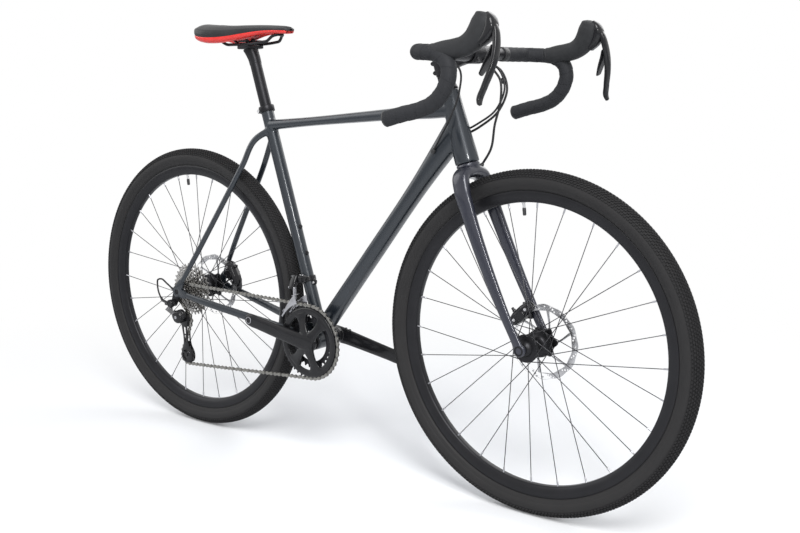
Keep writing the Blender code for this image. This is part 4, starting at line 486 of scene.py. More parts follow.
# %% Rubber, tape, cover and plastics
def hose_rubber(name, colour):
    made = Finish(name, colour, 0.46, shine=0.25)
    grit, dust = made.noise(900, 4, 0.6), made.noise(16, 5)
    base = made.mix((grit * 0.4 + dust * 0.6).between(0.35, 0.75), colour, tint(colour, 1.5))
    return made.complete(base, dust * 0.14 + 0.39, grit, 0.05)


def tyre_rubber(name, axle):
    """Matte tread, and a sidewall with faint concentric moulding lines."""
    made = Finish(name, (0.016, 0.016, 0.017), 0.72, shine=0.22)
    reach = made.reach(axle)
    side = 1 - reach.between(0.3405, 0.3445)
    rings = (reach * 2400).sine().between(0.2, 1.0) * side
    threads, dust = made.noise(1800, 3, 0.6), made.noise(22, 5)
    base = made.mix((dust * 0.55 + side * 0.25 + threads * 0.2).clamp(),
                    (0.008, 0.008, 0.009), (0.024, 0.023, 0.023))
    return made.complete(base, dust * 0.12 + 0.64 - side * 0.12, rings * 0.6 + threads * 0.5, 0.18)


def wrapped_tape(name):
    """Soft cork-like tape: small pits, and a dull sheen that changes from turn to turn."""
    made = Finish(name, (0.022, 0.023, 0.026), 0.70, shine=0.22)
    pits, fine, drift = made.cells(620).between(0.05, 0.42), made.noise(1700), made.noise(34, 4)
    base = made.mix((drift * 0.5 + pits * 0.5).clamp(), (0.009, 0.0095, 0.0105), (0.022, 0.023, 0.026))
    return made.complete(base, drift * 0.14 + 0.62, pits * 0.6 + fine * 0.4, 0.22)


def hood_rubber(name):
    """Ribbed grip rubber: a fine diamond pattern pressed into the sides."""
    made = Finish(name, (0.024, 0.025, 0.027), 0.62, shine=0.28)
    x, _, z = made.node("ShaderNodeSeparateXYZ", (made.spot(),))[:3]
    knurl = ((x * 0.8 + z * 1.2) * 2600).sine() * ((x * 1.2 - z * 0.8) * 2600).sine()
    drift = made.noise(60, 4)
    return made.complete(made.mix(drift, (0.010, 0.0105, 0.0115), (0.022, 0.023, 0.025)),
                         drift * 0.16 + 0.52, knurl.between(-0.1, 0.6) * 0.7 + drift * 0.3, 0.14)


def smooth_cover(name):
    """Synthetic saddle cover with a very fine grain and a satin sheen."""
    made = Finish(name, (0.012, 0.012, 0.013), 0.42, shine=0.35)
    grain, drift = made.cells(1500), made.noise(24, 4)
    return made.complete(made.mix(drift, (0.009, 0.009, 0.010), (0.024, 0.024, 0.026)),
                         drift * 0.14 + grain * 0.12 + 0.30, grain * 0.7 + made.noise(500) * 0.3, 0.10)


def plain_plastic(name, colour, rough):
    made = Finish(name, colour, rough)
    drift = made.noise(50)
    return made.complete(made.mix(drift, tint(colour, 0.82), tint(colour, 1.15)),
                         drift * 0.16 + (rough - 0.08), made.noise(1200, 2), 0.05)


slate = slate_paint("slate_paint", (0.0150, 0.0195, 0.0255))
fork_slate = slate_paint("fork_paint", (0.021, 0.0225, 0.034))
black_alloy = satin_alloy("black_alloy", (0.020, 0.020, 0.022))
rim_black = satin_alloy("rim_black", (0.016, 0.016, 0.018), 0.34, 0.55)
crank_black = gloss_black("crank_black")
lever_black = gloss_black("lever_black", (0.008, 0.008, 0.009))
bright_steel = brushed_metal("bright_steel", (0.72, 0.72, 0.73))
silver_alloy = satin_alloy("silver_alloy", (0.38, 0.38, 0.40), 0.30, 1.0)
spoke_steel = satin_alloy("spoke_steel", (0.045, 0.045, 0.048), 0.30, 0.8)
# A darker copy of the chain steel. On the chain's inner links and rollers the darker tone is painted shade.
dark_steel_and_chain_shade = satin_alloy("dark_steel_and_chain_shade", (0.15, 0.146, 0.138), 0.36, 0.95, 500)
mech_grey = satin_alloy("mech_grey", (0.10, 0.10, 0.105), 0.32, 0.85)
rear_steel = brushed_metal("rear_steel", (0.40, 0.39, 0.375), REAR)
ring_black = satin_alloy("ring_black", (0.022, 0.022, 0.025), 0.34, 0.7)
chain_steel = satin_alloy("chain_steel", (0.23, 0.225, 0.21), 0.34, 1.0, 500)
tape, hood_grip = wrapped_tape("bar_tape"), hood_rubber("hood_rubber")
cover_black = smooth_cover("saddle_cover")
shell_red = plain_plastic("saddle_red", (0.66, 0.030, 0.024), 0.34)
hose_black = hose_rubber("hose_sheath", (0.012, 0.012, 0.013))
pulley_black = plain_plastic("pulley_black", (0.020, 0.020, 0.021), 0.5)
print("finishes:", len(bpy.data.materials))

# %% [markdown]
# ## Hoses and cables
# The cords come first, since everything else is fitted round them. Each is a round tube along a smooth
# curve through a few places on its route. The front brake hose turns with the bars; the cords from the
# bar to the frame do not move with them.

# %% Hoses and cables
UNDER_BAR = BAR[2] - 0.0187


def fork_point(down, wide, forward):
    return CROWN - HEAD_UP * down + Y * wide + HEAD_FORWARD * forward


hose_route = np.array([(BAR[0] - 0.004, 0.070, UNDER_BAR), (0.372, 0.064, 0.908), (0.393, 0.052, 0.870),
                       (0.380, 0.044, 0.830), (0.338, 0.037, 0.795), (0.290, 0.027, 0.770)])
cable_route = np.vstack([hose_route[:4] + (-0.001, -0.008, 0.003),
                         [(0.336, 0.0305, 0.801), (0.292, 0.0235, 0.779)]])
front_route = np.array([(BAR[0] + 0.003, 0.056, UNDER_BAR), (0.360, 0.050, 0.913), (0.384, 0.040, 0.890),
                        (0.390, 0.033, 0.850), (0.378, 0.031, 0.800), (0.368, 0.033, 0.750),
                        fork_point(0.006, 0.0285, 0.0125)])
right_route = np.array([(BAR[0] - 0.003, -0.060, UNDER_BAR), (0.350, -0.056, 0.910), (0.345, -0.050, 0.870),
                        (0.320, -0.042, 0.820), (0.285, -0.030, 0.775), (0.261, -0.0222, 0.744)])
loop_end = np.array([-0.5463, -0.0851, 0.3331])
loop_route = np.array([(-0.5151, -PLATE_Y, 0.3630), (-0.538, -PLATE_Y - 0.001, 0.3765),
                       (-0.557, -PLATE_Y - 0.003, 0.3865), (-0.5675, -PLATE_Y - 0.005, 0.3835),
                       (-0.5675, -PLATE_Y - 0.007, 0.3690), (-0.557, loop_end[1], 0.3480), loop_end])
clip_spot = ((hose_route[2] + cable_route[2]) * 0.55 + (hose_route[1] + cable_route[1]) * 0.45) / 2
clip_way = unit(hose_route[2] - hose_route[1])
clip = tube([(clip_spot + clip_way * s, 7.2, 4.2) for s in (-0.0042, 0.0042)], sides=24, power=2.6,
            smooth=False, round_ends=0.6)
piece("front_brake_hose_sheath", cord_tube(front_route, 2.5), hose_black, BARS, None, "front_brake_hose")
rear_pair = piece("rear_hose_pair", merge(cord_tube(hose_route, 2.5), cord_tube(cable_route, 2.1), clip),
                  hose_black, None, None, "rear_hose_and_cable")
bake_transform(rear_pair)
shift_housing = piece("shift_housing", cord_tube(right_route, 2.1), hose_black, None, None, "shift_cable")
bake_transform(shift_housing)
ferrules = merge(pin(loop_route[0] + (0.004, 0, -0.0022), loop_route[0] + (-0.007, 0, 0.0040), 3.0),
                 pin(loop_end + (-0.0052, 0, 0.0080), loop_end + (0.0012, 0, -0.0018), 3.1))
piece("derailleur_housing", merge(cord_tube(loop_route, 2.1), ferrules), hose_black, "frame", None,
      "derailleur_cable")
print("cords: 5")

# %% [markdown]
# ## Wheels
# The tyre is a turned casing set with small tread blocks. Each block is the same little form, copied
# round the wheel in staggered rows and tilted to stand square on the casing.

# %% Tyres
CASING = (337.2, 19.5, 21.8)          # centre radius, radial half size, half width, in millimetres
ROWS, BLOCK_TALL = 280, 2.2


def casing_profile():
    bead = [(312.2, 10.4), (315.5, 11), (317.2, 12.2), (318.8, 14.6), (321.3, 17)]
    arc = polar(1, np.radians(np.linspace(126, 0, 22))) * CASING[1:] + (CASING[0], 0)
    half = np.vstack([bead, arc])
    return np.vstack([half, (half * (1, -1))[::-1][1:]])


def tread_block(length, width):
    """A block with softened rims, standing on its own XY plane."""
    corners = np.array([(-1, -1), (1, -1), (1, 1), (-1, 1)]) * (length / 2, width / 2)
    levels = ((1.12, 1.12, -0.6), (1, 1, BLOCK_TALL * 0.72), (0.82, 0.80, BLOCK_TALL))
    return sheet_of(np.stack([np.insert(corners * (a, b), 2, h, axis=1) for a, b, h in levels]) / 1000)


def tread(axle):
    """Rows of blocks: a row's angle over the casing sets where they stand and how they lean."""
    parts = []
    for number, (lean, length, width) in enumerate(((0, 4.4, 3.2), (13, 4.0, 3.4), (26, 4.2, 3.2),
                                                    (39, 4.4, 3.4), (52, 4.8, 3.4), (65, 5.0, 3.0))):
        lean, block = math.radians(lean), tread_block(length, width)
        for side in (1, -1)[:2 if number else 1]:
            angle = (np.arange(ROWS) + 0.5 * (number % 2)) * 2 * np.pi / ROWS
            slope = unit((math.cos(lean) / CASING[1], side * math.sin(lean) / CASING[2]))
            radial, ahead = around(angle), around(angle + np.pi / 2)
            out = radial * slope[0] + Y * slope[1]
            spot = radial * (CASING[0] + CASING[1] * math.cos(lean)) + Y * side * CASING[2] * math.sin(lean)
            parts.append(copies(block, np.stack([ahead, np.cross(out, ahead), out], -1), axle + spot / 1000))
    return merge(*parts)


for name, axle in (("front", FRONT), ("rear", REAR)):
    rubber = tyre_rubber(name + "_tyre_rubber", axle)
    piece(name + "_casing", turned(casing_profile(), axle, Y, 160, True), rubber, name + "_wheel", None,
          name + "_tyre")
    piece(name + "_tread", tread(axle), rubber, name + "_wheel", 40)
print("tread blocks on each tyre:", ROWS * 11)

# %% [markdown]
# The rim is a closed section turned about the axle. Twenty-eight crossed spokes run from hub flanges
# to the rim, each ending in a bright nipple. The valve stands through the rim.

# %% Rims, spokes and hubs
VALVE_WAY = around(math.radians(96))
SPOKES = 28
RIM = np.array([(311.5, 0), (311.2, 10.4), (315, 11), (316.2, 11.3), (316.7, 11.9), (316.7, 12.7),
                (316, 13.2), (312, 13.2), (307, 13), (303, 12.1), (298.5, 10.3), (294.8, 8.4), (293.2, 6.8),
                (292.6, 4.8), (292.4, 0)])
FLANGE = ((9.7, 11.1), (15, 7.6), (17, 3.1), (28.5, 1.8), (29.1, .64), (29.1, -.64), (28.5, -1.6),
          (20, -2.6), (15, -5), (12.2, -9.5), (11.5, -15))


def wheel_spokes(axle, flanges):
    """Spokes and nipples; neighbours leave opposite faces of a flange, lean opposite ways and cross."""
    spokes, nipples = [], []
    for index in range(SPOKES):
        low, turn, lean = flanges[index % 2] / 1000, 2 * np.pi * index / SPOKES, 1 if index // 2 % 2 else -1
        seat = axle + around(turn + lean * 6 * np.pi / 14) * 0.0265 + Y * low
        start, end = seat + Y * lean * 0.0024, axle + around(turn) * 0.2935 + Y * math.copysign(0.002, low)
        way = unit(end - start)
        path = ((seat - Y * lean * 0.0024, 1.1), (start, 1.1), (start + way * 0.0035, 1.1),
                (start + way * 0.05, 0.9), (end, 0.9))
        spokes.append(tube([(spot, r, r) for spot, r in path], unit((0.31, 0.62, 0.72)), 7, smooth=False))
        nipples.append(turned([(1.1, 0), (1.75, 0.6), (1.9, 4), (1.9, 11.5), (2.6, 13)],
                              end - way * 0.0125, way, 8))
    return merge(*spokes), merge(*nipples)


def hub_shell(axle, flanges, ends):
    """Flanges with a rolled lip, a waisted barrel between them and stepped ends."""
    (low, high), (left, right) = flanges, ends
    far = ((28.5, 1.8), (17, 3.1), (15, 4.6), (9.7, 5.1))
    profile = [(6.4, left), (8.5, left), (9.5, left + 1), *[(r, low - h) for r, h in FLANGE],
               *[(r, high + h) for r, h in FLANGE[:3:-1]], *[(r, high + h) for r, h in far],
               (9.5, right - 1), (8.5, right), (6.4, right)]
    return turned(profile, axle, Y, 64, True)


for name, axle, flanges, ends in (("front", FRONT, (-32, 21), (-48.8, 48.8)),
                                  ("rear", REAR, (-18.5, 33), (-24.3, 69.8))):
    body = name + "_wheel"
    rim = np.vstack([RIM, (RIM[1:-1] * (1, -1))[::-1]])
    piece(name + "_rim_surface", turned(rim, axle, Y, 160, True), rim_black, body, 50, name + "_rim")
    laced, nipples = wheel_spokes(axle, flanges)
    piece(name + "_spokes", laced, spoke_steel, body)
    piece(name + "_nipples", nipples, silver_alloy, body, 50)
    piece(name + "_hub_shell", hub_shell(axle, flanges, ends), black_alloy, body, 50, name + "_hub")
    seat = axle + VALVE_WAY * 0.2935
    stem, nut, cap = (turned(profile, seat, -VALVE_WAY, 20) for profile in
                      (((2.9, 0), (2.9, 13.5)), ((4.2, -0.6), (5, 0), (5, 1.6), (4.2, 2.2)),
                       ((3, 12), (3.6, 12.8), (3.8, 15), (3.6, 26), (2.7, 27.8))))
    piece(name + "_valve_stem", merge(stem, nut), bright_steel, body, 50)
    piece(name + "_valve_cap", cap, pulley_black, body, 50)
print("spokes in each wheel:", SPOKES)

# %% [markdown]
# A rotor is a bright braking band with a waved edge and rows of holes, held by slanting steel arms on
# a black centre.

# %% Rotors
def waved(mean, depth, waves, phase, power=1, count=216):
    angle = full_turn(count)
    wave = np.cos(waves * angle + phase)
    return polar(mean + depth * (wave if power == 1 else np.abs(wave) ** power), angle)


band_outlines = [waved(0.0789, 0.0010, 12, 0.0), waved(0.0661, 0.0008, 12, 2.0)]
band_outlines += [polar(reach, turn + shift) + ring_of(size, sides) for turn in full_turn(12) + np.pi / 12
                  for reach, shift, size, sides in ((0.0695, -0.075, 0.0019, 14), (0.0729, 0, 0.0022, 14),
                                                    (0.0763, 0.07, 0.0018, 14), (0.0745, 0.262, 0.0016, 12))]
arm = np.array([(.0240, -.10), (.0330, .06), (.0450, .20), (.0600, .330), (.0672, .345), (.0672, .455),
                (.0600, .415), (.0450, .300), (.0330, .18), (.0240, .14)])
arms = np.vstack([polar(arm[:, 0], turn + arm[:, 1]) for turn in full_turn(6)])
star = waved(0.0262, 0.0075, 3, -0.18, 3, 96)
for name, axle in (("front", FRONT), ("rear", REAR)):
    body, height = name + "_wheel", ROTOR_Y[name]
    steel = brushed_metal(name + "_rotor_steel", (0.48, 0.48, 0.49), axle, 0.26)
    band = plate(band_outlines, 1.8, axle, height, 0.25)
    carrier = plate([arms, ring_of(0.0188, 40)], 2.2, axle, height, 0.4)
    centre = plate([star, ring_of(0.0185, 40)], 3.0, axle, height, 0.5)
    piece(name + "_rotor_band", band, steel, body, 30, name + "_rotor")
    piece(name + "_rotor_carrier", carrier, steel, body, 30)
    lock = turned([(10, -1.4), (19.6, -1.4), (20.4, -0.6), (20.4, 1.6), (19, 3.2), (12.5, 3.2), (10, 2)],
                  axle + Y * height, Y, 64, True)
    piece(name + "_rotor_star", merge(centre, lock), black_alloy, body, 30)
    rivets = [pin(spot - Y * 0.00105, spot + Y * 0.00105, 1.8, 14)
              for spot in axle + Y * height + around(full_turn(6) + 0.40) * 0.0640]
    piece(name + "_rotor_rivets", merge(*rivets), bright_steel, body, 50)
print("rotors: 2")

# %% [markdown]
# ## Chain and sprockets
# The chain's path is made of four turns and the straight runs that touch them. A roller sits at each
# whole pitch along it. The sprocket teeth are cut to those rollers, so links and teeth mesh.

# %% The chain's path
GUIDE, TENSION = np.array([-0.4859775, COG_Y, 0.2873989]), np.array([-0.4794126, COG_Y, 0.1957874])
LINKS = 108
COGS = (11, 12, 13, 14, 16, 18, 20, 22, 25, 28, 32)


def pitch_radius(teeth):
    return PITCH / (2 * math.sin(math.pi / teeth))


def whole(at, count):
    """The whole numbers of links from one place on the chain to another."""
    return np.arange(math.ceil(at - 1e-9), math.ceil(at + count - 1e-9))


def chain_rollers():
    """Every roller's centre, with the angle of the first roller on each turn."""
    turns = [(spot[[0, 2]], teeth, sense, pitch_radius(teeth), y) for spot, teeth, sense, y in
             ((BRACKET, 43, -1, -CHAINLINE), (TENSION, 11, -1, COG_Y), (GUIDE, 11, 1, COG_Y),
              (REAR, 11, -1, COG_Y))]
    runs = []
    for k, (first, _, sense, radius, _) in enumerate(turns):
        second, _, next_sense, next_radius, _ = turns[(k + 1) % 4]
        run, gain = second - first, next_sense * next_radius - sense * radius
        heading = math.atan2(run[1], run[0]) - math.asin(gain / np.hypot(*run))
        left = polar(1, heading + math.pi / 2)
        runs.append((first - left * sense * radius, second - left * next_sense * next_radius, heading))
    centres, phases, at = [], [], 0.0
    for k, (spot, teeth, sense, radius, y) in enumerate(turns):
        arrival, (start, end, way) = runs[k - 1][2], runs[k]
        count = ((way - arrival) * sense % (2 * math.pi)) * teeth / (2 * math.pi)
        turn = arrival + sense * ((whole(at, count) - at) * 2 * math.pi / teeth - math.pi / 2)
        phases.append(turn[0])
        flat = spot + polar(radius, turn)
        centres.append(np.insert(flat, 1, y, axis=1))
        at += count
        length = np.hypot(*(end - start))
        share = (whole(at, length / PITCH) - at) * PITCH / length
        height = y + (turns[(k + 1) % 4][4] - y) * share * share * (3 - 2 * share)
        centres.append(np.insert(start + share[:, None] * length * polar(1, way), 1, height, axis=1))
        at += length / PITCH
    return np.vstack(centres)[:LINKS], phases


def link_plate(near, far, tall, waist):
    """A plate shaped like a figure eight, lying along X, between two heights."""
    right = polar(tall, np.radians(np.linspace(-125, 125, 9))) + (PITCH / 2, 0)
    edge = np.vstack([right, [(0.0, waist)], right[::-1] * (-1, 1), [(0.0, -waist)]])
    edge = edge[::-1] if near > far else edge
    rings = [(1.0, near), (1.0, near * 0.3 + far * 0.7), (0.93, far)]
    return sheet_of(np.stack([np.insert(edge * s, 1, h, axis=1) for s, h in rings]))


ROLLERS, PHASES = chain_rollers()
outer = merge(*[link_plate(side * 0.00195, side * 0.00265, 0.0043, 0.0019) for side in (-1, 1)],
              *[pin((x, -0.003, 0), (x, 0.003, 0), 1.7, 10) for x in (-PITCH / 2, PITCH / 2)])
inner = merge(*[link_plate(side * 0.00115, side * 0.00185, 0.0041, 0.0021) for side in (-1, 1)],
              *[turned([(3.8, -1.15), (3.8, 1.15)], (x, 0, 0), Y, 12) for x in (-PITCH / 2, PITCH / 2)])
following = np.roll(ROLLERS, -1, axis=0)
middle, along = (ROLLERS + following) / 2, unit(following - ROLLERS)
side = unit(Y - along * along[:, 1:2])
turns = np.stack([along, side, np.cross(along, side)], -1)
piece("chain_outer_links", copies(outer, turns[1::2], middle[1::2]), chain_steel, "frame", 40, "chain")
# The inner plates and rollers take the darker copy of the steel: painted shade for the parts that sit inside
# the outer plates.
piece("chain_inner_links", copies(inner, turns[::2], middle[::2]), dark_steel_and_chain_shade, "frame", 40)
print("chain links:", len(ROLLERS))

# %% [markdown]
# A tooth's outline dips round the roller and rises to a narrow tip. One pitch of it is written once
# and repeated round the sprocket.

# %% Sprockets
TOOTH = np.array([(-.44, .0026), (-.36, .0012), (-.27, -.0012), (-.17, -.0034), (0, -.0041), (.17, -.0034),
                  (.27, -.0012), (.36, .0012), (.44, .0026)])
SPACING = 0.0037


def toothed(teeth, phase):
    angle = phase + (np.arange(teeth)[:, None] + TOOTH[:, 0]) * 2 * np.pi / teeth
    return polar(np.broadcast_to(pitch_radius(teeth) + TOOTH[:, 1], angle.shape), angle).reshape(-1, 2)


cogs = []
for number, teeth in enumerate(COGS):
    outlines = [toothed(teeth, 0.3 * number if number else PHASES[3]), ring_of(0.0165, 40)]
    rim_inner, seventh = pitch_radius(teeth) - 0.0078, 2 * np.pi / 7
    if rim_inner > 0.0300:
        outlines += [window(0.0215, rim_inner, turn + 0.12, turn + seventh - 0.12) for turn in full_turn(7)]
    cogs.append(plate(outlines, 1.7, REAR, COG_Y + SPACING * number))
piece("sprocket_rings", merge(*cogs), rear_steel, "sprockets", 30, "cassette")
core = [(16, -0.8), *[(17.6, 3.7 * number + rise) for number in range(10) for rise in (0.9, 2.8)],
        (20, 37.5), (15, 37.5), (7, 36), (7, 2), (12, -0.8)]
lock_ring = [(11, -1.2), (11.2, -2.6), (14.2, -2.9), (15.2, -2.2), (15.2, -1), (11, -0.8)]
piece("sprocket_core", turned(core, REAR + Y * COG_Y, Y, 48, True), black_alloy, "sprockets", 40)
piece("sprocket_lock_ring", turned(lock_ring, REAR + Y * COG_Y, Y, 48, True), silver_alloy, "sprockets", 40)
print("sprockets:", len(COGS))

# %% [markdown]
# ## Cranks and chainrings
# The right crank spreads into four arms that carry two rings. The large ring is deep and hollow-backed,
# with a raised rib that catches the light.

# %% Chainrings and cranks
CRANK_ANGLE = math.radians(169)
ARMS = np.radians([-120, -60, 60, 120]) + CRANK_ANGLE


def ring_hole(wide, narrow, half=0.27, foot=0.22):
    """Inner edge of a ring with tabs that reach in to the arms."""
    points, turns = [], np.sort(ARMS % (2 * np.pi))
    for arm, following in zip(turns, [*turns[1:], turns[0] + 2 * np.pi]):
        points += [polar([wide, narrow + 0.004, narrow, narrow, narrow + 0.004],
                         arm + np.array([-half, -foot - 0.02, -foot, foot, foot + 0.02])),
                   polar(wide, np.linspace(arm + half, following - half, 14))]
    return np.vstack(points)


def crank(side):
    """A tapered arm whose outer face is faceted, with a round foot and a round eye."""
    turn = CRANK_ANGLE if side < 0 else CRANK_ANGLE + math.pi
    along, up = around(turn), around(turn + math.pi / 2)
    rows = []
    for reach, tall, thick in ((-20, 10, 5.6), (-18, 15, 6.4), (-12, 18.5, 7), (0, 20, 7.8), (28, 18.6, 8.2),
                               (55, 17.8, 7.8), (90, 17, 7.1), (150, 15.8, 6.4), (175, 15.4, 6.4),
                               (183, 13.4, 6.4), (188, 9, 6)):
        outset = 0.058 + 0.0105 * min(max(reach / 175, 0), 1) ** 0.8
        rows.append((BRACKET + along * reach / 1000 + Y * side * outset, tall, thick))
    return tube(rows, up, 40, 110, 2.7, round_ends=1.5), along, up


def spider_arm(turn):
    """A flat arm that leaves the foot broad, narrows, and spreads again where it meets the ring."""
    rows = [(BRACKET + around(turn) * reach - Y * height, wide, thick) for reach, height, wide, thick in
            ((0.006, 0.0585, 17, 6), (0.022, 0.0572, 13.5, 5.6), (0.036, 0.0552, 10.8, 4.8),
             (0.050, 0.0532, 11.2, 4), (0.061, 0.0520, 15.5, 3.4), (0.070, 0.0516, 23, 3))]
    return tube(rows, around(turn + math.pi / 2), 32, 40, 3.0)


big = [toothed(43, PHASES[0]), ring_hole(pitch_radius(43) - 0.0195, 0.0485)]
big = plate(big, 1.9, BRACKET, -CHAINLINE)
small = plate([toothed(30, 0.1), ring_of(0.0465, 64)], 1.9, BRACKET, -CHAINLINE + 0.0065)
piece("large_ring", big, ring_black, "crankset", 30, "outer_chainring")
spots = BRACKET + around(ARMS) * 0.0515 - Y * CHAINLINE
posts = [pin(spot + Y * 0.0012, spot + Y * 0.0070, 5.0) for spot in spots]
piece("small_ring", merge(small, *posts), ring_black, "crankset", 30, "inner_chainring")
for side, label in ((-1, "right"), (1, "left")):
    shaft, along, up = crank(side)
    if side < 0:
        rib = [(65.5, 0), (66, 3.4), (68, 4.4), (76, 5), (80.5, 4.6), (82.5, 3), (82.8, 0)]
        parts = [shaft, *[spider_arm(turn) for turn in ARMS],
                 turned(rib, BRACKET - Y * 0.049, -Y, 120, True),
                 turned([(0, -48), (23.5, -48), (23.8, -56), (0, -60)], BRACKET, Y, 56)]
    else:
        parts = [shaft, turned([(0, 41.5), (19, 41.5), (19, 56), (0, 56)], BRACKET, Y, 56)]
    joined(label + "_crank_arm", merge(*parts), crank_black, "crankset", 1.1, 7, label + "_crank")
    eye = BRACKET + along * 0.175 + Y * side * 0.0751
    ring = turned([(6.8, 0.4), (7, 0.9), (8.3, 0.9), (8.6, 0.3), (8.6, -6), (6.8, -6)], eye, Y * side,
                  closed=True)
    # A dark plug sunk in the pedal eye: painted shade standing in for the inside of the pedal hole.
    well = turned([(0, -3), (6.9, -3), (6.9, 0.2), (6, 0.4), (5.6, -1), (0, -1.2)], eye, Y * side, 32)
    piece(label + "_pedal_eye_ring", ring, silver_alloy, "crankset", 40)
    piece(label + "_pedal_eye", well, hose_black, "crankset", 40)
hub_cap = turned([(0, 0.4), (7.2, 0.4), (8, 1.6), (11.8, 1.8), (12.8, 0.6), (12.8, -2)],
                 BRACKET + Y * 0.0655, Y)
pinch = [screw(BRACKET + Y * 0.056 + along * reach + up * 0.0195, up, 3.6, 3) for reach in (0.02, 0.032)]
piece("left_crank_cap", merge(hub_cap, *pinch), pulley_black, "crankset", 40)
spindle = turned([(0, 0), (11.8, 0), (11.8, 104), (0, 104)], BRACKET - Y * 0.052, Y, 40)
piece("crank_spindle", spindle, dark_steel_and_chain_shade, "crankset", 40)
print("cranks made")

# %% [markdown]
# ## Frame
# The frame is moulded: its tubes flow into each other with soft fillets. The tubes are laid through
# one another, a voxel remesh joins them into one skin, and a smoothing pass rounds the joints.

# %% Frame
AHEAD = unit(BRACKET - REAR)
STAY_UP = unit(np.array([-0.262, 0, 0.733]) - REAR)
DOWN_TOP = HEAD_LOW + HEAD_UP * (HEAD_LENGTH - 0.080)
SEAT_FRONT = square_to(SEAT_UP, X)


def laid(start, end, sizes, power):
    """A straight tube; each row gives a share of its length and the section there."""
    return tube([(start + (end - start) * s, wide, tall) for s, wide, tall in sizes], Y, 40, 60, power)


def chainstay(side):
    end = REAR + AHEAD * 0.026
    reach = np.linalg.norm(BRACKET - end)
    rows = [(BRACKET + (end - BRACKET) * at / reach + Y * side * out, wide, tall) for at, out, wide, tall in
            ((0, .021, 7, 13.5), (.05, .031, 6, 13.5), (.09, .035, 5.5, 13), (.13, .040, 6, 12),
             (.25, .056, 6.2, 10), (.35, .070, 5.8, 9), (reach, PLATE_Y, 3, 8))]
    return tube(rows, Y, 28, 90, 2.4)


def seatstay(side):
    top, foot = BRACKET + SEAT_UP * 0.509 + Y * 0.008, REAR + STAY_UP * 0.028 + Y * PLATE_Y
    rows = [(np.multiply(spot, (1, side, 1)), wide, tall) for spot, wide, tall in
            ((top, 8, 8.5), ((-.254, .027, .752), 6.8, 8), ((-.290, .037, .690), 6.2, 7.8),
             ((-.370, .050, .565), 6, 7.5), ((-.440, .063, .455), 5.8, 7.5), (foot, 3.6, 7.5))]
    return tube(rows, Y, 28, 90)


def dropout_outline():
    """The plate's edge in the wheel's plane: two tabs along the stays and a round nose behind."""
    u, f = STAY_UP[[0, 2]], AHEAD[[0, 2]]
    left, below = np.array([-u[1], u[0]]), np.array([f[1], -f[0]])
    corners = [u * 0.034 + left * 0.0085, u * 0.034 - left * 0.0085, u * 0.027 - left * 0.0095,
               unit(u + f) * 0.0205, f * 0.027 - below * 0.0095, f * 0.034 - below * 0.0085,
               f * 0.034 + below * 0.0085]
    start, stop = math.atan2(below[1], below[0]) - 0.1, math.atan2(left[1], left[0]) - 2 * math.pi + 0.1
    return np.vstack([corners, polar(0.0145, np.linspace(start, stop, 24))])


down_foot = BRACKET + around(math.pi - math.radians(38)) * 0.013
tubes = [
    turned([(24.6, 0), (25.5, 1), (25.5, 18), (25.2, 26), (24, 50), (22.4, 85), (21, 115), (20.5, 132),
            (20.5, 156), (19.8, 157)], HEAD_LOW, HEAD_UP, 72),
    turned([(15, -2), (15, 564.5)], BRACKET, SEAT_UP),
    turned([(19.6, -34), (21.5, -32.5), (21.5, 32.5), (19.6, 34)], BRACKET, Y, 64),
    laid(HEAD_LOW + HEAD_UP * (HEAD_LENGTH - 0.040), BRACKET + SEAT_UP * 0.521,
         ((0, 19, 16.5), (.10, 20, 16.5), (.22, 19.5, 14), (.5, 17.5, 11.5), (.8, 15.5, 10.5),
          (.93, 15, 11.5), (1, 14.8, 12)), 2.8),
    laid(DOWN_TOP, down_foot, ((0, 20, 29), (.10, 20.5, 24), (.22, 19.5, 19.5), (.6, 19, 18.2),
                               (.88, 21.5, 18), (1, 22.5, 17.5)), 2.9),
    chainstay(-1), chainstay(1), seatstay(-1), seatstay(1)]
joined("frame_shell", merge(*tubes), slate, "frame", 2.1, 10, "head_tube", "seat_tube", "top_tube",
       "down_tube", "right_chainstay", "left_chainstay", "right_seatstay", "left_seatstay")
hole = ring_of(0.0064, 32)
plates = [plate([dropout_outline(), hole], 6, REAR, side * PLATE_Y, 1.2) for side in (-1, 1)]
hanger = plate([capsule((-0.012, -0.029), (0, 0), 0.0095, 0.0125), hole], 5.2, REAR, -PLATE_Y, 0.8)
piece("dropouts", merge(*plates), slate, "frame", 35)
piece("gear_hanger", hanger, black_alloy, "frame", 35)
cup = [(13.5, 0), (20.5, 0), (20.7, 1), (20.7, 4), (19.6, 5.5), (13.5, 5.5)]
cups = [turned(cup, BRACKET + Y * side * 0.0341, Y * side, 64, True) for side in (-1, 1)]
piece("bracket_cups", merge(*cups), black_alloy, "frame", 40)
collar = turned([(15.4, 0), (18, 0), (18.55, 0.8), (18.55, 13), (18, 14), (14, 14), (14, 13), (15.4, 12.8)],
                SEAT_TOP - SEAT_UP * 0.012, SEAT_UP, 64, True)
lug = SEAT_TOP - SEAT_UP * 0.005 - SEAT_FRONT * 0.0205
lugs = [pin(lug + Y * low, lug + Y * (low + 0.0082), 4.6) for low in (-0.0090, 0.0008)]
piece("collar_ring", merge(collar, *lugs), black_alloy, "frame", 40, "seat_collar")
piece("collar_bolt", screw(lug - Y * 0.0088, -Y, 3.4, 1.8), bright_steel, "frame", 40)

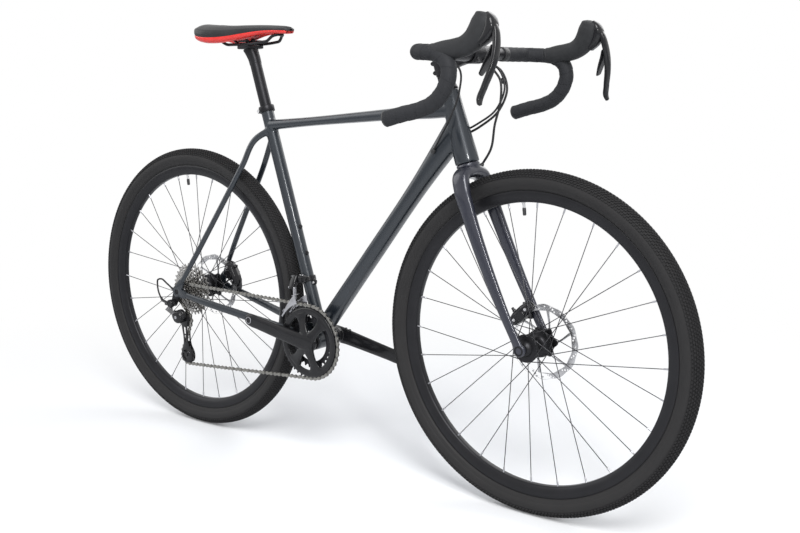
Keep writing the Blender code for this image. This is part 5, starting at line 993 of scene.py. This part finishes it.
down_way = unit(BRACKET - DOWN_TOP)
down_face = square_to(down_way, Z)
spots = [(DOWN_TOP + (BRACKET - DOWN_TOP) * share + down_face * 0.0182, down_face) for share in (0.52, 0.66)]
spots += [(BRACKET + SEAT_UP * height + SEAT_FRONT * 0.0146, SEAT_FRONT) for height in (0.205, 0.269)]
bosses = []
for spot, way in spots:
    bosses += [turned([(5.2, -1), (5.5, 0.8), (4.8, 1.4)], spot, way, 28),
               screw(spot + way * 0.0012, way, 4.2, 2.6)]
piece("bottle_bosses", merge(*bosses), black_alloy, "frame", 40)
ports = [turned([(2.6, -6), (4.2, -5), (4.8, -2), (5.2, 3), (2.6, 4)], route[-1], route[-1] - route[-2], 28)
         for route in (hose_route, cable_route, right_route)]
piece("frame_ports", merge(*ports), pulley_black, "frame", 50)
print("frame pieces made")

# %% [markdown]
# ## Fork, stem and handlebar
# The fork is moulded like the frame. The stem has a bolted faceplate round the bar; the gap above and
# below it is a thin dark strip of painted shade. Two bolts pinch the steerer behind.

# %% Fork
def blade(side):
    """A leg that leaves the crown upright and curves forwards: its offset grows with reach^1.7."""
    rows = [(fork_point(down, side * wide, FORK_OFFSET * (down / FORK_REACH) ** 1.7), deep, thick)
            for down, wide, deep, thick in
            ((.0125, 0, 20.5, 14.5), (.0145, .018, 20.5, 14.5), (.022, .0355, 19.2, 13),
             (.048, .0452, 18.4, 11.2), (.1, .049, 16.5, 9.5), (.2, .0525, 14, 8), (.3, .0545, 11.5, 6.2),
             (.365, .0553, 10, 5.2), (FORK_REACH, .0553, 10.5, 4.9))]
    return tube(rows, HEAD_FORWARD, 36, 110, 2.5)


crown = turned([(0, -14), (19.5, -12.5), (24, -4), (24.6, 1.5), (24.6, 3.4), (0, 3.4)], CROWN, HEAD_UP, 64)
tips, eyes = [], []
for way in (-Y, Y):
    tips.append(turned([(12, 0), (13, 1), (13, 9), (12, 10)], FRONT + way * 0.0503, way, 40))
    eyes.append(turned([(7, 0), (9.8, 0), (10.2, 0.4), (9.8, 0.9), (7, 0.9)], FRONT + way * 0.0602, way, 40,
                       True))
joined("fork_shell", merge(blade(-1), blade(1), crown, *tips), fork_slate, BARS, 1.8, 5, "fork")
piece("fork_tip_rings", merge(*eyes), black_alloy, BARS, 40)
piece("fork_port", turned([(2.6, -6), (4, -5), (4.5, -2), (5, 3), (2.6, 4)], front_route[-1],
                          front_route[-1] - front_route[-2], 28), pulley_black, BARS, 50)
print("fork made")

# %% Stem
arm_way = unit(BAR - STEM_SPOT)
stem_up = square_to(arm_way, Z)
stack = [(0, 0.4), (20, 0.4), (20, 2.6), (19.6, 3.4), (18.4, 7.5), (17.8, 9.2), (17.4, 9.5)]
for low in 9.7 + 5.6 * np.arange(4):
    stack += [(16.8, low), (17.3, low + 0.4), (17.3, low + 5), (16.8, low + 5.4)]
clamp, cap = (turned(profile, STEM_SPOT, HEAD_UP, 64) for profile in
              (((17, -20), (18.5, -19), (19, -12), (19, 13), (18.4, 19.5), (17.4, 20.5), (0, 20.5)),
               ((16.8, 20.7), (17.4, 21.2), (17.2, 23.2), (15, 24.3), (6.2, 24.5), (5.5, 23.6), (0, 23.6))))
arm = tube([(STEM_SPOT, 16.5, 16.5), (STEM_SPOT + arm_way * 0.030, 15, 14.8),
            (STEM_SPOT + arm_way * 0.052, 15.8, 14.6), (BAR - arm_way * 0.012, 19.5, 15.5)], Y, 48, 40, 2.7)
barrel = turned([(16.6, -20.6), (17.8, -21), (20, -20), (20.8, -18), (20.8, 18), (20, 20), (17.8, 21),
                 (16.6, 20.6)], BAR, Y, 72, True)
joined("stem_body", merge(clamp, arm, barrel), black_alloy, BARS, 1.1, 4, "stem")
piece("headset_stack", turned([*stack, (0, 33.4)], HEAD_TOP, HEAD_UP, 64), black_alloy, BARS, 35)
piece("steerer_cap", cap, black_alloy, BARS, 35)
bolts, gap_shade_strips = [], []
for high in (-1, 1):
    # A thin dark strip along each edge of the faceplate: painted shade standing in for the gap.
    gap_shade_spot = BAR + arm_way * 0.0040 + stem_up * high * 0.0208
    gap_shade_strips.append(tube([(gap_shade_spot + Y * y, 0.7, 0.6) for y in (-0.02, 0.02)], arm_way, 8, smooth=False))
    for side in (-1, 1):
        seat = BAR + arm_way * 0.0125 + stem_up * high * 0.0168 + Y * side * 0.0138
        bolts += [turned([(5, -6), (5.2, 1), (4.6, 2.2)], seat, arm_way, 28),
                  screw(seat + arm_way * 0.0018, arm_way, 4, 3)]
for height in (-0.010, 0.010):
    seat = STEM_SPOT - arm_way * 0.0165 + HEAD_UP * height
    bolts += [turned([(4.6, -9), (4.8, 6), (4.2, 7.5)], seat - Y * 0.004, -Y, 28),
              screw(seat - Y * 0.0112, -Y, 3.6, 2.2)]
bolts.append(screw(STEM_SPOT + HEAD_UP * 0.0236, HEAD_UP, 4.8, 2.6))
piece("stem_bolts", merge(*bolts), crank_black, BARS, 40)
# The dark strips are painted shade in the faceplate's gaps.
piece("faceplate_gap_shade", merge(*gap_shade_strips), hose_black, BARS)
print("stem made")

# %% [markdown]
# The bar runs out from the stem, forwards to the hoods, and curls back below them. Tape is wound round
# it from the drops upwards: its surface is a spiral of overlapping turns, each with a raised edge.

# %% Handlebar and tape
TAPED = np.array([(0, 105, 0), (0, 165, 0), (6, 197, 0), (30, 208.5, -1), (66, 213, -6), (87, 216.5, -21),
                  (92.5, 219, -41), (85, 221.5, -68), (63, 223.5, -93), (30, 226, -107.5), (-3, 229, -115),
                  (-41, 232.6, -125)]) / 1000


def wound(path, radius, lap, turn_width, sides=40, count=420):
    """Tape wound on a path: the radius grows over each turn and drops at its edge.

    A turn's share at a point is distance along / width of a turn - angle / one turn, less its whole part."""
    rows = through(path, count)
    ahead = unit(np.gradient(rows, axis=0))
    along = np.concatenate([[0], np.cumsum(np.linalg.norm(np.diff(rows, axis=0), axis=1))])
    side = np.sign(path[1, 1])
    up = unit(np.cross(ahead, unit((0.6, -0.6 * side, 0.53))))
    across, angle = np.cross(up, ahead), full_turn(sides)
    share = (along[:, None] / turn_width - angle / (2 * np.pi) * side) % 1
    reach = (radius + lap * (0.35 + 0.65 * share ** 0.6) * np.clip((1 - share) / 0.10, 0, 1)
             + lap * 0.25 * np.clip(1 - share / 0.08, 0, 1))
    grid = (rows[:, None] + across[:, None] * (reach * np.cos(angle))[..., None]
            + up[:, None] * (reach * np.sin(angle))[..., None])
    return sheet_of(grid), rows[-1], ahead[-1]


half_bar = ((.112, 12.5), (.085, 12.8), (.062, 14.8), (.048, 15.8))
bare = [(BAR + Y * y, r, r) for y, r in [(-y, r) for y, r in half_bar] + [(0, 15.9), *half_bar[::-1]]]
piece("bar_centre", tube(bare, X, 48, 90), rim_black, BARS, None, "handlebar")
for side, label in ((-1, "right"), (1, "left")):
    path = BAR + TAPED * (1, side, 1)
    surface, end, way = wound(path, 0.0142, 0.0013, 0.0225)
    piece(label + "_tape_wrap", surface, tape, BARS, 60, label + "_bar_tape")
    band = turned([(13.6, -3), (15, -2.4), (15.3, 0), (15.3, 10), (15, 12.5), (13.2, 13.2)], path[0],
                  Y * side)
    plug = turned([(13.8, -1), (15.3, 0), (15.5, 2.2), (14.3, 3.8), (7.5, 4.4), (0, 4)], end, way)
    piece(label + "_tape_ends", merge(band, plug), pulley_black, BARS, 45)
print("handlebar and tape made")

# %% [markdown]
# The hoods are one soft form each: a waist behind, a horn in front, and a rolled lip where the lever
# leaves it. The lever is a blade that widens and then narrows as it curves down.

# %% Hoods and levers
HOOD = ((395, 210.5, 941.5, 15.2, 16), (408, 210.3, 942.5, 16.5, 18), (420, 209.8, 944, 16.8, 19),
        (442, 208.5, 947.5, 16.6, 18.8), (464, 206.6, 953, 16.4, 19.2), (481, 204.5, 964, 17, 20.8),
        (492.5, 202.2, 980, 18, 22.2), (498.5, 200, 995, 18.2, 21.6), (501.5, 198.4, 1006.5, 15.8, 18.2))
LIP = ((395, 210.5, 941.5, 15.2, 16), (396.8, 210.5, 941.9, 15.8, 16.6), (399.5, 210.5, 942.5, 15.7, 16.5))
LEVER_HEAD = ((506, 199.5, 1007, 8.5, 7), (513.5, 200.8, 998.5, 13.2, 10.2), (517.5, 202.6, 987, 14.2, 11.2),
              (512.5, 204.2, 971.5, 13.6, 10.8), (498.5, 205.5, 957, 11.2, 8.4))
LEVER = ((520.5, 203, 992.5, 4.5, 5.2), (526.5, 204, 982, 7.5, 5.6), (531.5, 207.5, 964, 8.8, 5.6),
         (534.3, 214.5, 938, 9.2, 5.2), (531.2, 224.5, 908, 8.8, 4.8), (524.4, 234.5, 879, 8, 4.4),
         (520.5, 243, 856, 6.8, 4.2), (522, 245.2, 850.5, 5.2, 3.8))
PADDLE = ((526.2, 211, 950, 8, 1.8), (524.8, 213.5, 940, 11, 2), (518.5, 218.5, 920, 12.8, 2),
          (511, 224, 903, 9, 1.6))


def handed(rows, side, sides, count, power, ends, smooth=True):
    """A form on one side of the bar; a row is a place and a section, all in millimetres."""
    placed = [(np.multiply(row[:3], (1, side, 1)) / 1000, *row[3:]) for row in rows]
    return tube(placed, Y, sides, count, power, smooth, ends)


for side, label in ((-1, "right"), (1, "left")):
    pivot = np.array([0.5225, side * 0.2030, 0.9880])
    for name, shape, finish, body, sharp, *solids in (
            ("_hood_skin", handed(HOOD, side, 48, 90, 2.35, 5), hood_grip, BARS, None, "_hood"),
            ("_lever_housing", handed(LEVER_HEAD, side, 32, 36, 2.8, 2.5), lever_black, BARS, None),
            ("_lip", handed(LIP, side, 48, 10, 2.35, 0, False), hood_grip, BARS, None),
            ("_pivot_pin", pin(pivot - Y * 0.0108, pivot + Y * 0.0108, 3), bright_steel, BARS, 45),
            ("_lever_blade", handed(LEVER, side, 32, 90, 2.9, 3), lever_black, label + "_lever", None,
             "_brake_lever"),
            ("_paddle_blade", handed(PADDLE, side, 32, 50, 3, 4), lever_black, label + "_paddle", None,
             "_shift_paddle")):
        piece(label + name, shape, finish, body, sharp, *[label + solid for solid in solids])
print("hoods and levers made")

# %% [markdown]
# ## Saddle
# The cover is a firm moulded pad, so its shape comes from sections taken along it and not from a cloth
# simulation. A shallow channel runs down its middle. Its red base shows under the edge.

# %% Saddle
NOSE_X, SADDLE_TOP = -0.1595, 1.0215
# A station is the distance behind the nose, the half width, the drop from the top and the depth.
STATIONS = np.array([(0, 9, 15, 6), (5, 15.5, 12, 10), (18, 19, 9.5, 13), (50, 21, 7, 15), (90, 26, 5.5, 19),
                     (130, 37, 5, 26), (165, 52, 5, 33), (200, 65, 3.5, 38), (230, 70, 1.5, 39),
                     (252, 67, 0, 36), (267, 54, 1, 30), (274, 36, 5, 20)]) / 1000
# A section's half curve is a share of the half width, a share of the depth and a rise in metres.
COVER = ((0, 0, -.003), (.1, 0, -.0024), (.2, 0, -.0008), (.34, 0, 0), (.62, -.05, -.001),
         (.86, -.22, -.001), (.97, -.36, 0), (1, -.52, 0), (.995, -.68, 0), (.975, -.76, 0), (.93, -.79, 0),
         (.8, -.74, -.001))
BASE = ((0, -.52, -.0016), (.4, -.55, -.0016), (.84, -.6, -.0016), (.965, -.74, -.0006),
        (.975, -.84, -.0006), (.93, -.97, -.0012), (.84, -1.02, -.0026), (.62, -1, -.0038),
        (.52, -.76, -.003), (0, -.7, -.003))


def saddle_sheet(half, across_count, along_count, rows):
    """Sections of the saddle: each is one smooth half curve and its mirror, scaled to the station."""
    at, half_width, drop, depth = through(rows, along_count).T[..., None]
    curve = through(half, across_count)
    share, fall, rise = np.vstack([curve, (curve * (-1, 1, 1))[::-1]]).T
    return sheet_of(np.stack(np.broadcast_arrays(NOSE_X - at, half_width * share,
                                                 SADDLE_TOP - drop + fall * depth + rise), -1))


pad, base = saddle_sheet(COVER, 60, 96, STATIONS), saddle_sheet(BASE, 40, 90, through(STATIONS, 60)[2:-2])
cover = piece("saddle_pad", pad, cover_black, "saddle", None, "saddle_cover")
piece("saddle_base", base, shell_red, "saddle", None, "saddle_shell")


def under(along, share):
    """Height of a rail's end under the base, a share of the depth below the cover's edge."""
    drop, depth = (np.interp(along, STATIONS[:, 0], STATIONS[:, k]) for k in (2, 3))
    return SADDLE_TOP - drop - depth * share - 0.0062


nose, tail, nose_z = NOSE_X - 0.034, NOSE_X - 0.215, under(0.034, 1.0)
rail = np.array([(nose, 0, nose_z), (nose - 0.001, 0.008, nose_z), (nose - 0.010, 0.015, nose_z - 0.003),
                 (-0.219, 0.0205, 0.9782), (-0.229, 0.0215, 0.9768), (-0.331, 0.0215, 0.9722),
                 (-0.347, 0.0225, 0.9724), (tail, 0.0240, under(0.215, 0.70))])
rail = np.vstack([(rail * (1, -1, 1))[::-1], rail[1:]])
piece("saddle_rail_rod", cord_tube(rail, 3.5, 18, 160), rim_black, "saddle", None, "saddle_rails")
rail_mid = np.array([-0.2932, 0, 0.9739])
rail_way = unit((0.110, 0, 0.005))
rail_up = square_to(rail_way, Z)
shaft = turned([(0, 0), (13.4, 1), (13.6, 4), (13.6, 210), (13.6, 224.5)], SEAT_TOP - SEAT_UP * 0.1,
               SEAT_UP, 56)
neck = tube([(POST_TOP - SEAT_UP * 0.020, 13.6, 13.6), (POST_TOP - SEAT_UP * 0.008, 13.7, 14.2),
             ((POST_TOP + rail_mid - rail_up * 0.012) / 2, 15, 15.8),
             (rail_mid - rail_up * 0.0105, 17, 17.2)], Y, 40, 30, 2.3)


def bar_across(centre, long, wide, tall):
    """A bar set across the rails with softened ends."""
    steps = [(wide / 2, 0.86), (wide / 2 - 0.001, 0.97), (wide / 2 - 0.003, 1)]
    rows = [(centre + Y * y, long / 2 * s, tall / 2 * s)
            for y, s in [(-y, s) for y, s in steps] + [(0, 1), *steps[::-1]]]
    return tube(rows, rail_way, 40, power=5, smooth=False)


cradle = bar_across(rail_mid - rail_up * 0.0078, 38, 0.052, 9.2)
upper = [bar_across(rail_mid + rail_up * 0.0060 + Y * y, 30, 0.011, 4.5) for y in (-0.0215, 0.0215)]
upper.append(bar_across(rail_mid + rail_up * 0.0052, 12, 0.036, 3.6))
for shift in (-0.0108, 0.0108):
    seat = rail_mid + rail_way * shift
    barrel = seat + rail_up * 0.0076
    upper += [pin(seat - rail_up * 0.022, seat + rail_up * 0.0120, 2.6),
              screw(seat - rail_up * 0.0125, -rail_up, 4, 6),
              pin(barrel - Y * 0.0055, barrel + Y * 0.0055, 3.4)]
piece("seatpost_body", merge(shaft, neck, cradle), black_alloy, "post", 35, "seatpost")
piece("rail_clamp", merge(*upper), black_alloy, "post", 40)
print("saddle made")

# %% [markdown]
# ## Brakes and gears
# A few small solids already have their real outlines: they get softened edges and a finish. The others
# are relaxed into moulded forms, and get the bolts, caps and pulleys that a close look needs.

# %% Finishes on the remaining solids
SHOWN = {"front_inner_pad": (dark_steel_and_chain_shade, 0.3), "front_outer_pad": (dark_steel_and_chain_shade, 0.3),
         "rear_inner_pad": (dark_steel_and_chain_shade, 0.3), "rear_outer_pad": (dark_steel_and_chain_shade, 0.3),
         "front_axle": (black_alloy, 0.5), "rear_axle": (black_alloy, 0.5),
         "rd_upper_knuckle": (crank_black, 0.7), "rd_lower_knuckle": (crank_black, 0.7),
         "rd_outer_link": (mech_grey, 0.7), "rd_inner_link": (mech_grey, 0.7)}
for node, (finish, edge) in SHOWN.items():
    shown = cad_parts[node]
    shown.data.materials.clear()
    shown.data.materials.append(finish)
    shown.data.shade_smooth()
    rounded = shown.modifiers.new("edges", "BEVEL")
    rounded.width, rounded.segments, rounded.limit_method = edge / 1000, 2, "ANGLE"
    rounded.angle_limit, rounded.harden_normals = math.radians(28), True
print("solids shown as they are:", len(SHOWN))

# %% Calipers
def solid_form(node):
    """A CAD solid's surface with its corners joined."""
    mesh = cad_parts[node].data
    spots, corners = np.empty(len(mesh.vertices) * 3), np.empty(len(mesh.loops), int)
    mesh.vertices.foreach_get("co", spots)
    mesh.loops.foreach_get("vertex_index", corners)
    points, number = np.unique(np.round(spots.reshape(-1, 3), 6), axis=0, return_inverse=True)
    return form(points, tris=number.ravel()[corners])


for name, centre, axle, body in (("front", np.array([0.448, 0, 0.412]), FRONT, BARS),
                                 ("rear", np.array([-0.431, 0, 0.396]), REAR, "frame")):
    out = unit(centre - axle)
    along, middle = np.array([-out[2], 0, out[0]]), centre + Y * ROTOR_Y[name]
    node = name + "_caliper"
    joined(node + "_body", solid_form(node), lever_black, body, 1.0, 12, node)
    caps, screws = [], []
    for way in (-Y, Y):
        caps.append(turned([(0, 0), (10.8, 0), (11.2, 0.6), (11.2, 2.2), (10.4, 3), (7.2, 3), (6.8, 2.4),
                            (0, 2.4)], middle - out * 0.0035 + way * 0.0140, way, 40))
        screws += [screw(middle + along * reach - out * 0.001 + way * 0.0120, way, 3.4, 3)
                   for reach in (-0.0185, 0.0185)]
    nipple = turned([(0, 0), (4.2, 0), (4.2, 5), (3, 6), (3, 10), (2.2, 10.8), (0, 10.8)],
                    middle + along * 0.0120 + out * 0.0130, out, 24)
    piece(node + "_caps", merge(*caps, nipple), crank_black, body, 40)
    piece(node + "_screws", merge(*screws), bright_steel, body, 40)
print("calipers: 2")

# %% Front derailleur
FD_TOP, FD_LOW = np.array([-0.129, -0.030, 0.433]), np.array([-0.129, -0.0455, 0.410])
CAGE_LOW, CAGE_TOP = pitch_radius(43) + 0.0068, pitch_radius(43) + 0.0302
seat = BRACKET + SEAT_UP * 0.145
band = merge(
    turned([(15.2, -6.2), (17.6, -6.4), (18.4, -5.6), (18.4, 5.6), (17.6, 6.4), (15.2, 6.2)], seat, SEAT_UP,
           64, True),
    tube([(-.113, -.0175, .4285, 6.2, 9), (-.1128, -.026, .43, 6.6, 9.6), (-.113, -.0345, .43, 5.6, 8.2)],
         X, 28, 20, 3.2, round_ends=3),
    tube([(seat + X * 0.0170 - Z * 0.0045, 4.2, 7), (seat + X * 0.0240 - Z * 0.0060, 3.6, 6)], Y, 24, 8, 3.2,
         round_ends=1.5),
    pin(FD_TOP + X * 0.0150, FD_TOP - X * 0.0080, 3))
joined("shifter_band", band, lever_black, "frame", 0.8, 5, "front_derailleur_clamp")
screws = [screw(seat + X * 0.0215 - Z * 0.0053 - Y * 0.0062, -Y, 3, 2.2),
          *[screw(np.array([x, -0.0290, 0.4385]), Z, 1.6, 2.2) for x in (-0.1164, -0.1096)]]
piece("shifter_screws", merge(*screws), bright_steel, "frame", 40)


def cage_side(height, low, start, stop):
    """A curved plate over the ring: deep at its front end, and drawn out to a slim tail behind."""
    angle, share = np.radians(np.linspace(start, stop, 24)), np.linspace(0, 1, 24)
    top = low + 0.0035 + 0.0185 * (1 - share) ** 1.6
    return plate([np.vstack([polar(low, angle), polar(top, angle)[::-1]])], 1.1, BRACKET, height)


def cage_bar(turn, radius):
    turn = math.radians(turn)
    return tube([(BRACKET + around(turn) * radius - Y * y, 5, 0.8) for y in (0.0546, 0.0402)],
                around(turn + math.pi / 2), 16, power=4, smooth=False)


ear_spot = FD_LOW + X * 0.0094
ear_foot = np.array([*ear_spot[:2], BRACKET[2] + CAGE_TOP * math.sin(math.radians(115)) - 0.008])
ear = tube([(ear_foot, 4.3, 2.5), (ear_spot, 4.3, 2.5)], Y, 24, power=3.5, smooth=False, round_ends=3.5)
cage = [cage_side(-0.0543, CAGE_LOW, 110, 147), cage_side(-0.0407, CAGE_LOW - 0.004, 97, 140),
        cage_bar(112, CAGE_LOW + 0.0218), cage_bar(138, CAGE_LOW + 0.0075), ear,
        pin(FD_LOW + X * 0.0120, FD_LOW - X * 0.0085, 2.4)]
piece("shifting_cage", merge(*cage), silver_alloy, "fd_cage", 35, "fd_cage")
linkage = tube([(FD_TOP + Z * 0.002, 8, 7.2), ((FD_TOP + FD_LOW) / 2, 8.6, 7.8),
                (FD_LOW - Z * 0.001, 7.2, 6)], X, 32, 20, 3.0, round_ends=2.5)
lugs = [pin(spot - X * 0.0092, spot + X * 0.0092, 2.6) for spot in (FD_TOP, FD_LOW)]
coil = [turned([(3.6, 0), (4.3, 0.5), (3.6, 1), (2.9, 0.5)], FD_TOP - X * reach - Z * 0.0002, X, 24, True)
        for reach in (0.0078, 0.0089, 0.0100, 0.0111)]
piece("shifting_link", linkage, crank_black, "fd_link", None, "fd_link")
piece("shifting_pins", merge(*lugs, *coil), silver_alloy, "fd_link", 40)
print("front derailleur made")

# %% Rear derailleur
G, T = (GUIDE - REAR)[[0, 2]], (TENSION - REAR)[[0, 2]]
WIDTHS = np.array([(-13, 1), (-10.5, 8), (-2, 12.5), (12, 11.2), (33, 8.4), (56, 7.8), (68, 10.4), (80, 17),
                   (92, 19.6), (102, 17.8), (109.5, 11), (112, 1)]) / 1000
way = unit(T - G)
rows = through(WIDTHS, 40)
spine, swell = G + rows[:, :1] * way, rows[:, 1:] * (-way[1], way[0])
outlines = [np.vstack([spine + swell, (spine - swell)[::-1]]),
            capsule(G + (T - G) * 0.24, G + (T - G) * 0.38, 0.0030, 0.0026, 8),
            capsule(G + (T - G) * 0.47, G + (T - G) * 0.60, 0.0026, 0.0026, 8),
            window(0.0080, 0.0150, 0.6, 2.4, 8) + T, window(0.0080, 0.0150, 2.9, 4.6, 8) + T]
cage = [plate(outlines, 1.4, REAR, COG_Y + side * 0.0052, 0.4) for side in (-1, 1)]
cage += [pin(c - Y * 0.0072, c + Y * 0.0070, 2.8) for c in (GUIDE, TENSION)]
cage += [screw(c - Y * 0.0066, -Y, 4, 1.6) for c in (GUIDE, TENSION)]
piece("derailleur_cage_plates", merge(*cage), crank_black, "rd_cage", 35, "rd_cage")
foot = np.array([-0.492, -0.0706, 0.2960])
drum = turned([(0, 0), (15, 0), (16.3, 1.4), (16.5, 10.5), (15.8, 15), (13.2, 18), (7, 19.2), (0, 19.4)],
              foot, -Y, 56)
switch = tube([(foot + (0.004, -0.0120, 0.0130), 3, 2.2), (foot + (0.010, -0.0125, 0.0150), 2.8, 1.8)],
              Y, 20, smooth=False, power=3, round_ends=1.5)
lobes = [turned([(0, 0), (size - 1.5, 0), (size, 1.5), (size, tall - 3.5), (size - 3.5, tall), (0, tall)],
                foot + shift, -Y) for size, tall, shift in ((14, 15, (-0.0085, 0, 0.0015)),
                                                            (15, 12.5, (0.0045, 0, 0.0045)))]
joined("knuckle_drum", merge(drum, switch, *lobes), crank_black, "rd_knuckle", 0.9, 5)
piece("knuckle_bolt", screw(foot - Y * 0.0190, -Y, 4, 1.4), silver_alloy, "rd_knuckle", 40)
hanger_bolt = turned([(0, 0), (9.2, 0), (9.6, 1), (9.6, 14), (8.5, 15.5), (5.5, 15.8), (5.2, 14), (0, 14)],
                     (-0.512, -0.0776, 0.330), -Y)
piece("hanger_bolt", hanger_bolt, crank_black, "frame", 40)
for label, centre, phase in (("guide", GUIDE, PHASES[2]), ("tension", TENSION, PHASES[1])):
    holes = [polar(0.0125, a) + ring_of(0.0022, 12) for a in full_turn(5)]
    wheel = plate([toothed(11, phase), ring_of(0.0034, 24), *holes], 2.1, centre, COG_Y)
    piece(label + "_pulley_wheel", wheel, pulley_black, label + "_pulley", 30, label + "_pulley")
    shield = turned([(3.4, -1.8), (7.6, -1.6), (8.2, -1), (8.2, 1), (7.6, 1.6), (3.4, 1.8)], centre, Y, 32,
                    True)
    piece(label + "_pulley_cover", shield, silver_alloy, label + "_pulley", 40)
print("rear derailleur made")

# %% [markdown]
# ## Floor, light and background
# A plain pale floor takes the soft shadow. Broad lamps light the bike at a level where a colour looks
# as it is written. The white behind it shows to the camera and in reflections, but adds no light.

# %% Stage
floor_paint = Finish("floor", (0.88, 0.89, 0.90), 0.80)
far = floor_paint.node("ShaderNodeSeparateXYZ", (floor_paint.spot(),))
far = ((far[0] ** 2 + far[1] ** 2) ** 0.5).between(0.1, 2.0)
glow = floor_paint.node("ShaderNodeEmission", {"Color": (1, 1, 1, 1), "Strength": 1.0})[0]
seen = floor_paint.node("ShaderNodeLightPath")[0]
lit = Value(floor_paint, floor_paint.shader.outputs[0])
shown = floor_paint.node("ShaderNodeMixShader", (far * seen, lit, glow))[0]
floor_paint.tree.links.new(shown.socket, floor_paint.tree.nodes["Material Output"].inputs["Surface"])
corners = [(-14, -14, 0), (14, -14, 0), (14, 14, 0), (-14, 14, 0)]
floor = piece("floor", form(corners, [(0, 1, 2, 3)]), floor_paint.made, None)

for name, spot, aim, size, power in (
        ("key", (1.9, -2.0, 3.2), 0.4, 2.0, 132), ("strip", (2.9, -2.1, 1.9), 0.5, 0.35, 26),
        ("fill", (-3.0, -1.6, 2.2), 0.5, 3.0, 40), ("back", (0.4, 3.2, 2.8), 0.5, 3.0, 55)):
    lamp = bpy.data.lights.new(name, "AREA")
    lamp.shape, lamp.size, lamp.energy = "DISK", size, power
    holder = bpy.data.objects.new(name, lamp)
    way = unit(np.array((0, 0, aim)) - spot)
    holder.location = spot
    holder.rotation_euler = (math.acos(-way[2]), 0, math.atan2(way[1], way[0]) - math.pi / 2)
    scene.collection.objects.link(holder)

world = bpy.data.worlds.new("world")
scene.world = world
world.use_nodes = True
tree = world.node_tree
tree.nodes.clear()
path = tree.nodes.new("ShaderNodeLightPath")
chosen = tree.nodes.new("ShaderNodeMixShader")
for slot, colour, strength in ((1, (0.90, 0.93, 1.0, 1), 0.42), (2, (1, 1, 1, 1), 1.0)):
    ground = tree.nodes.new("ShaderNodeBackground")
    ground.inputs["Color"].default_value, ground.inputs["Strength"].default_value = colour, strength
    tree.links.new(ground.outputs[0], chosen.inputs[slot])
rays = path.outputs["Is Camera Ray"]
for other in ("Is Glossy Ray", "Is Transmission Ray"):
    either = tree.nodes.new("ShaderNodeMath")
    either.operation = "MAXIMUM"
    tree.links.new(rays, either.inputs[0])
    tree.links.new(path.outputs[other], either.inputs[1])
    rays = either.outputs[0]
tree.links.new(rays, chosen.inputs[0])
output = tree.nodes.new("ShaderNodeOutputWorld")
tree.links.new(chosen.outputs[0], output.inputs["Surface"])
print("lamps:", len(bpy.data.lights))
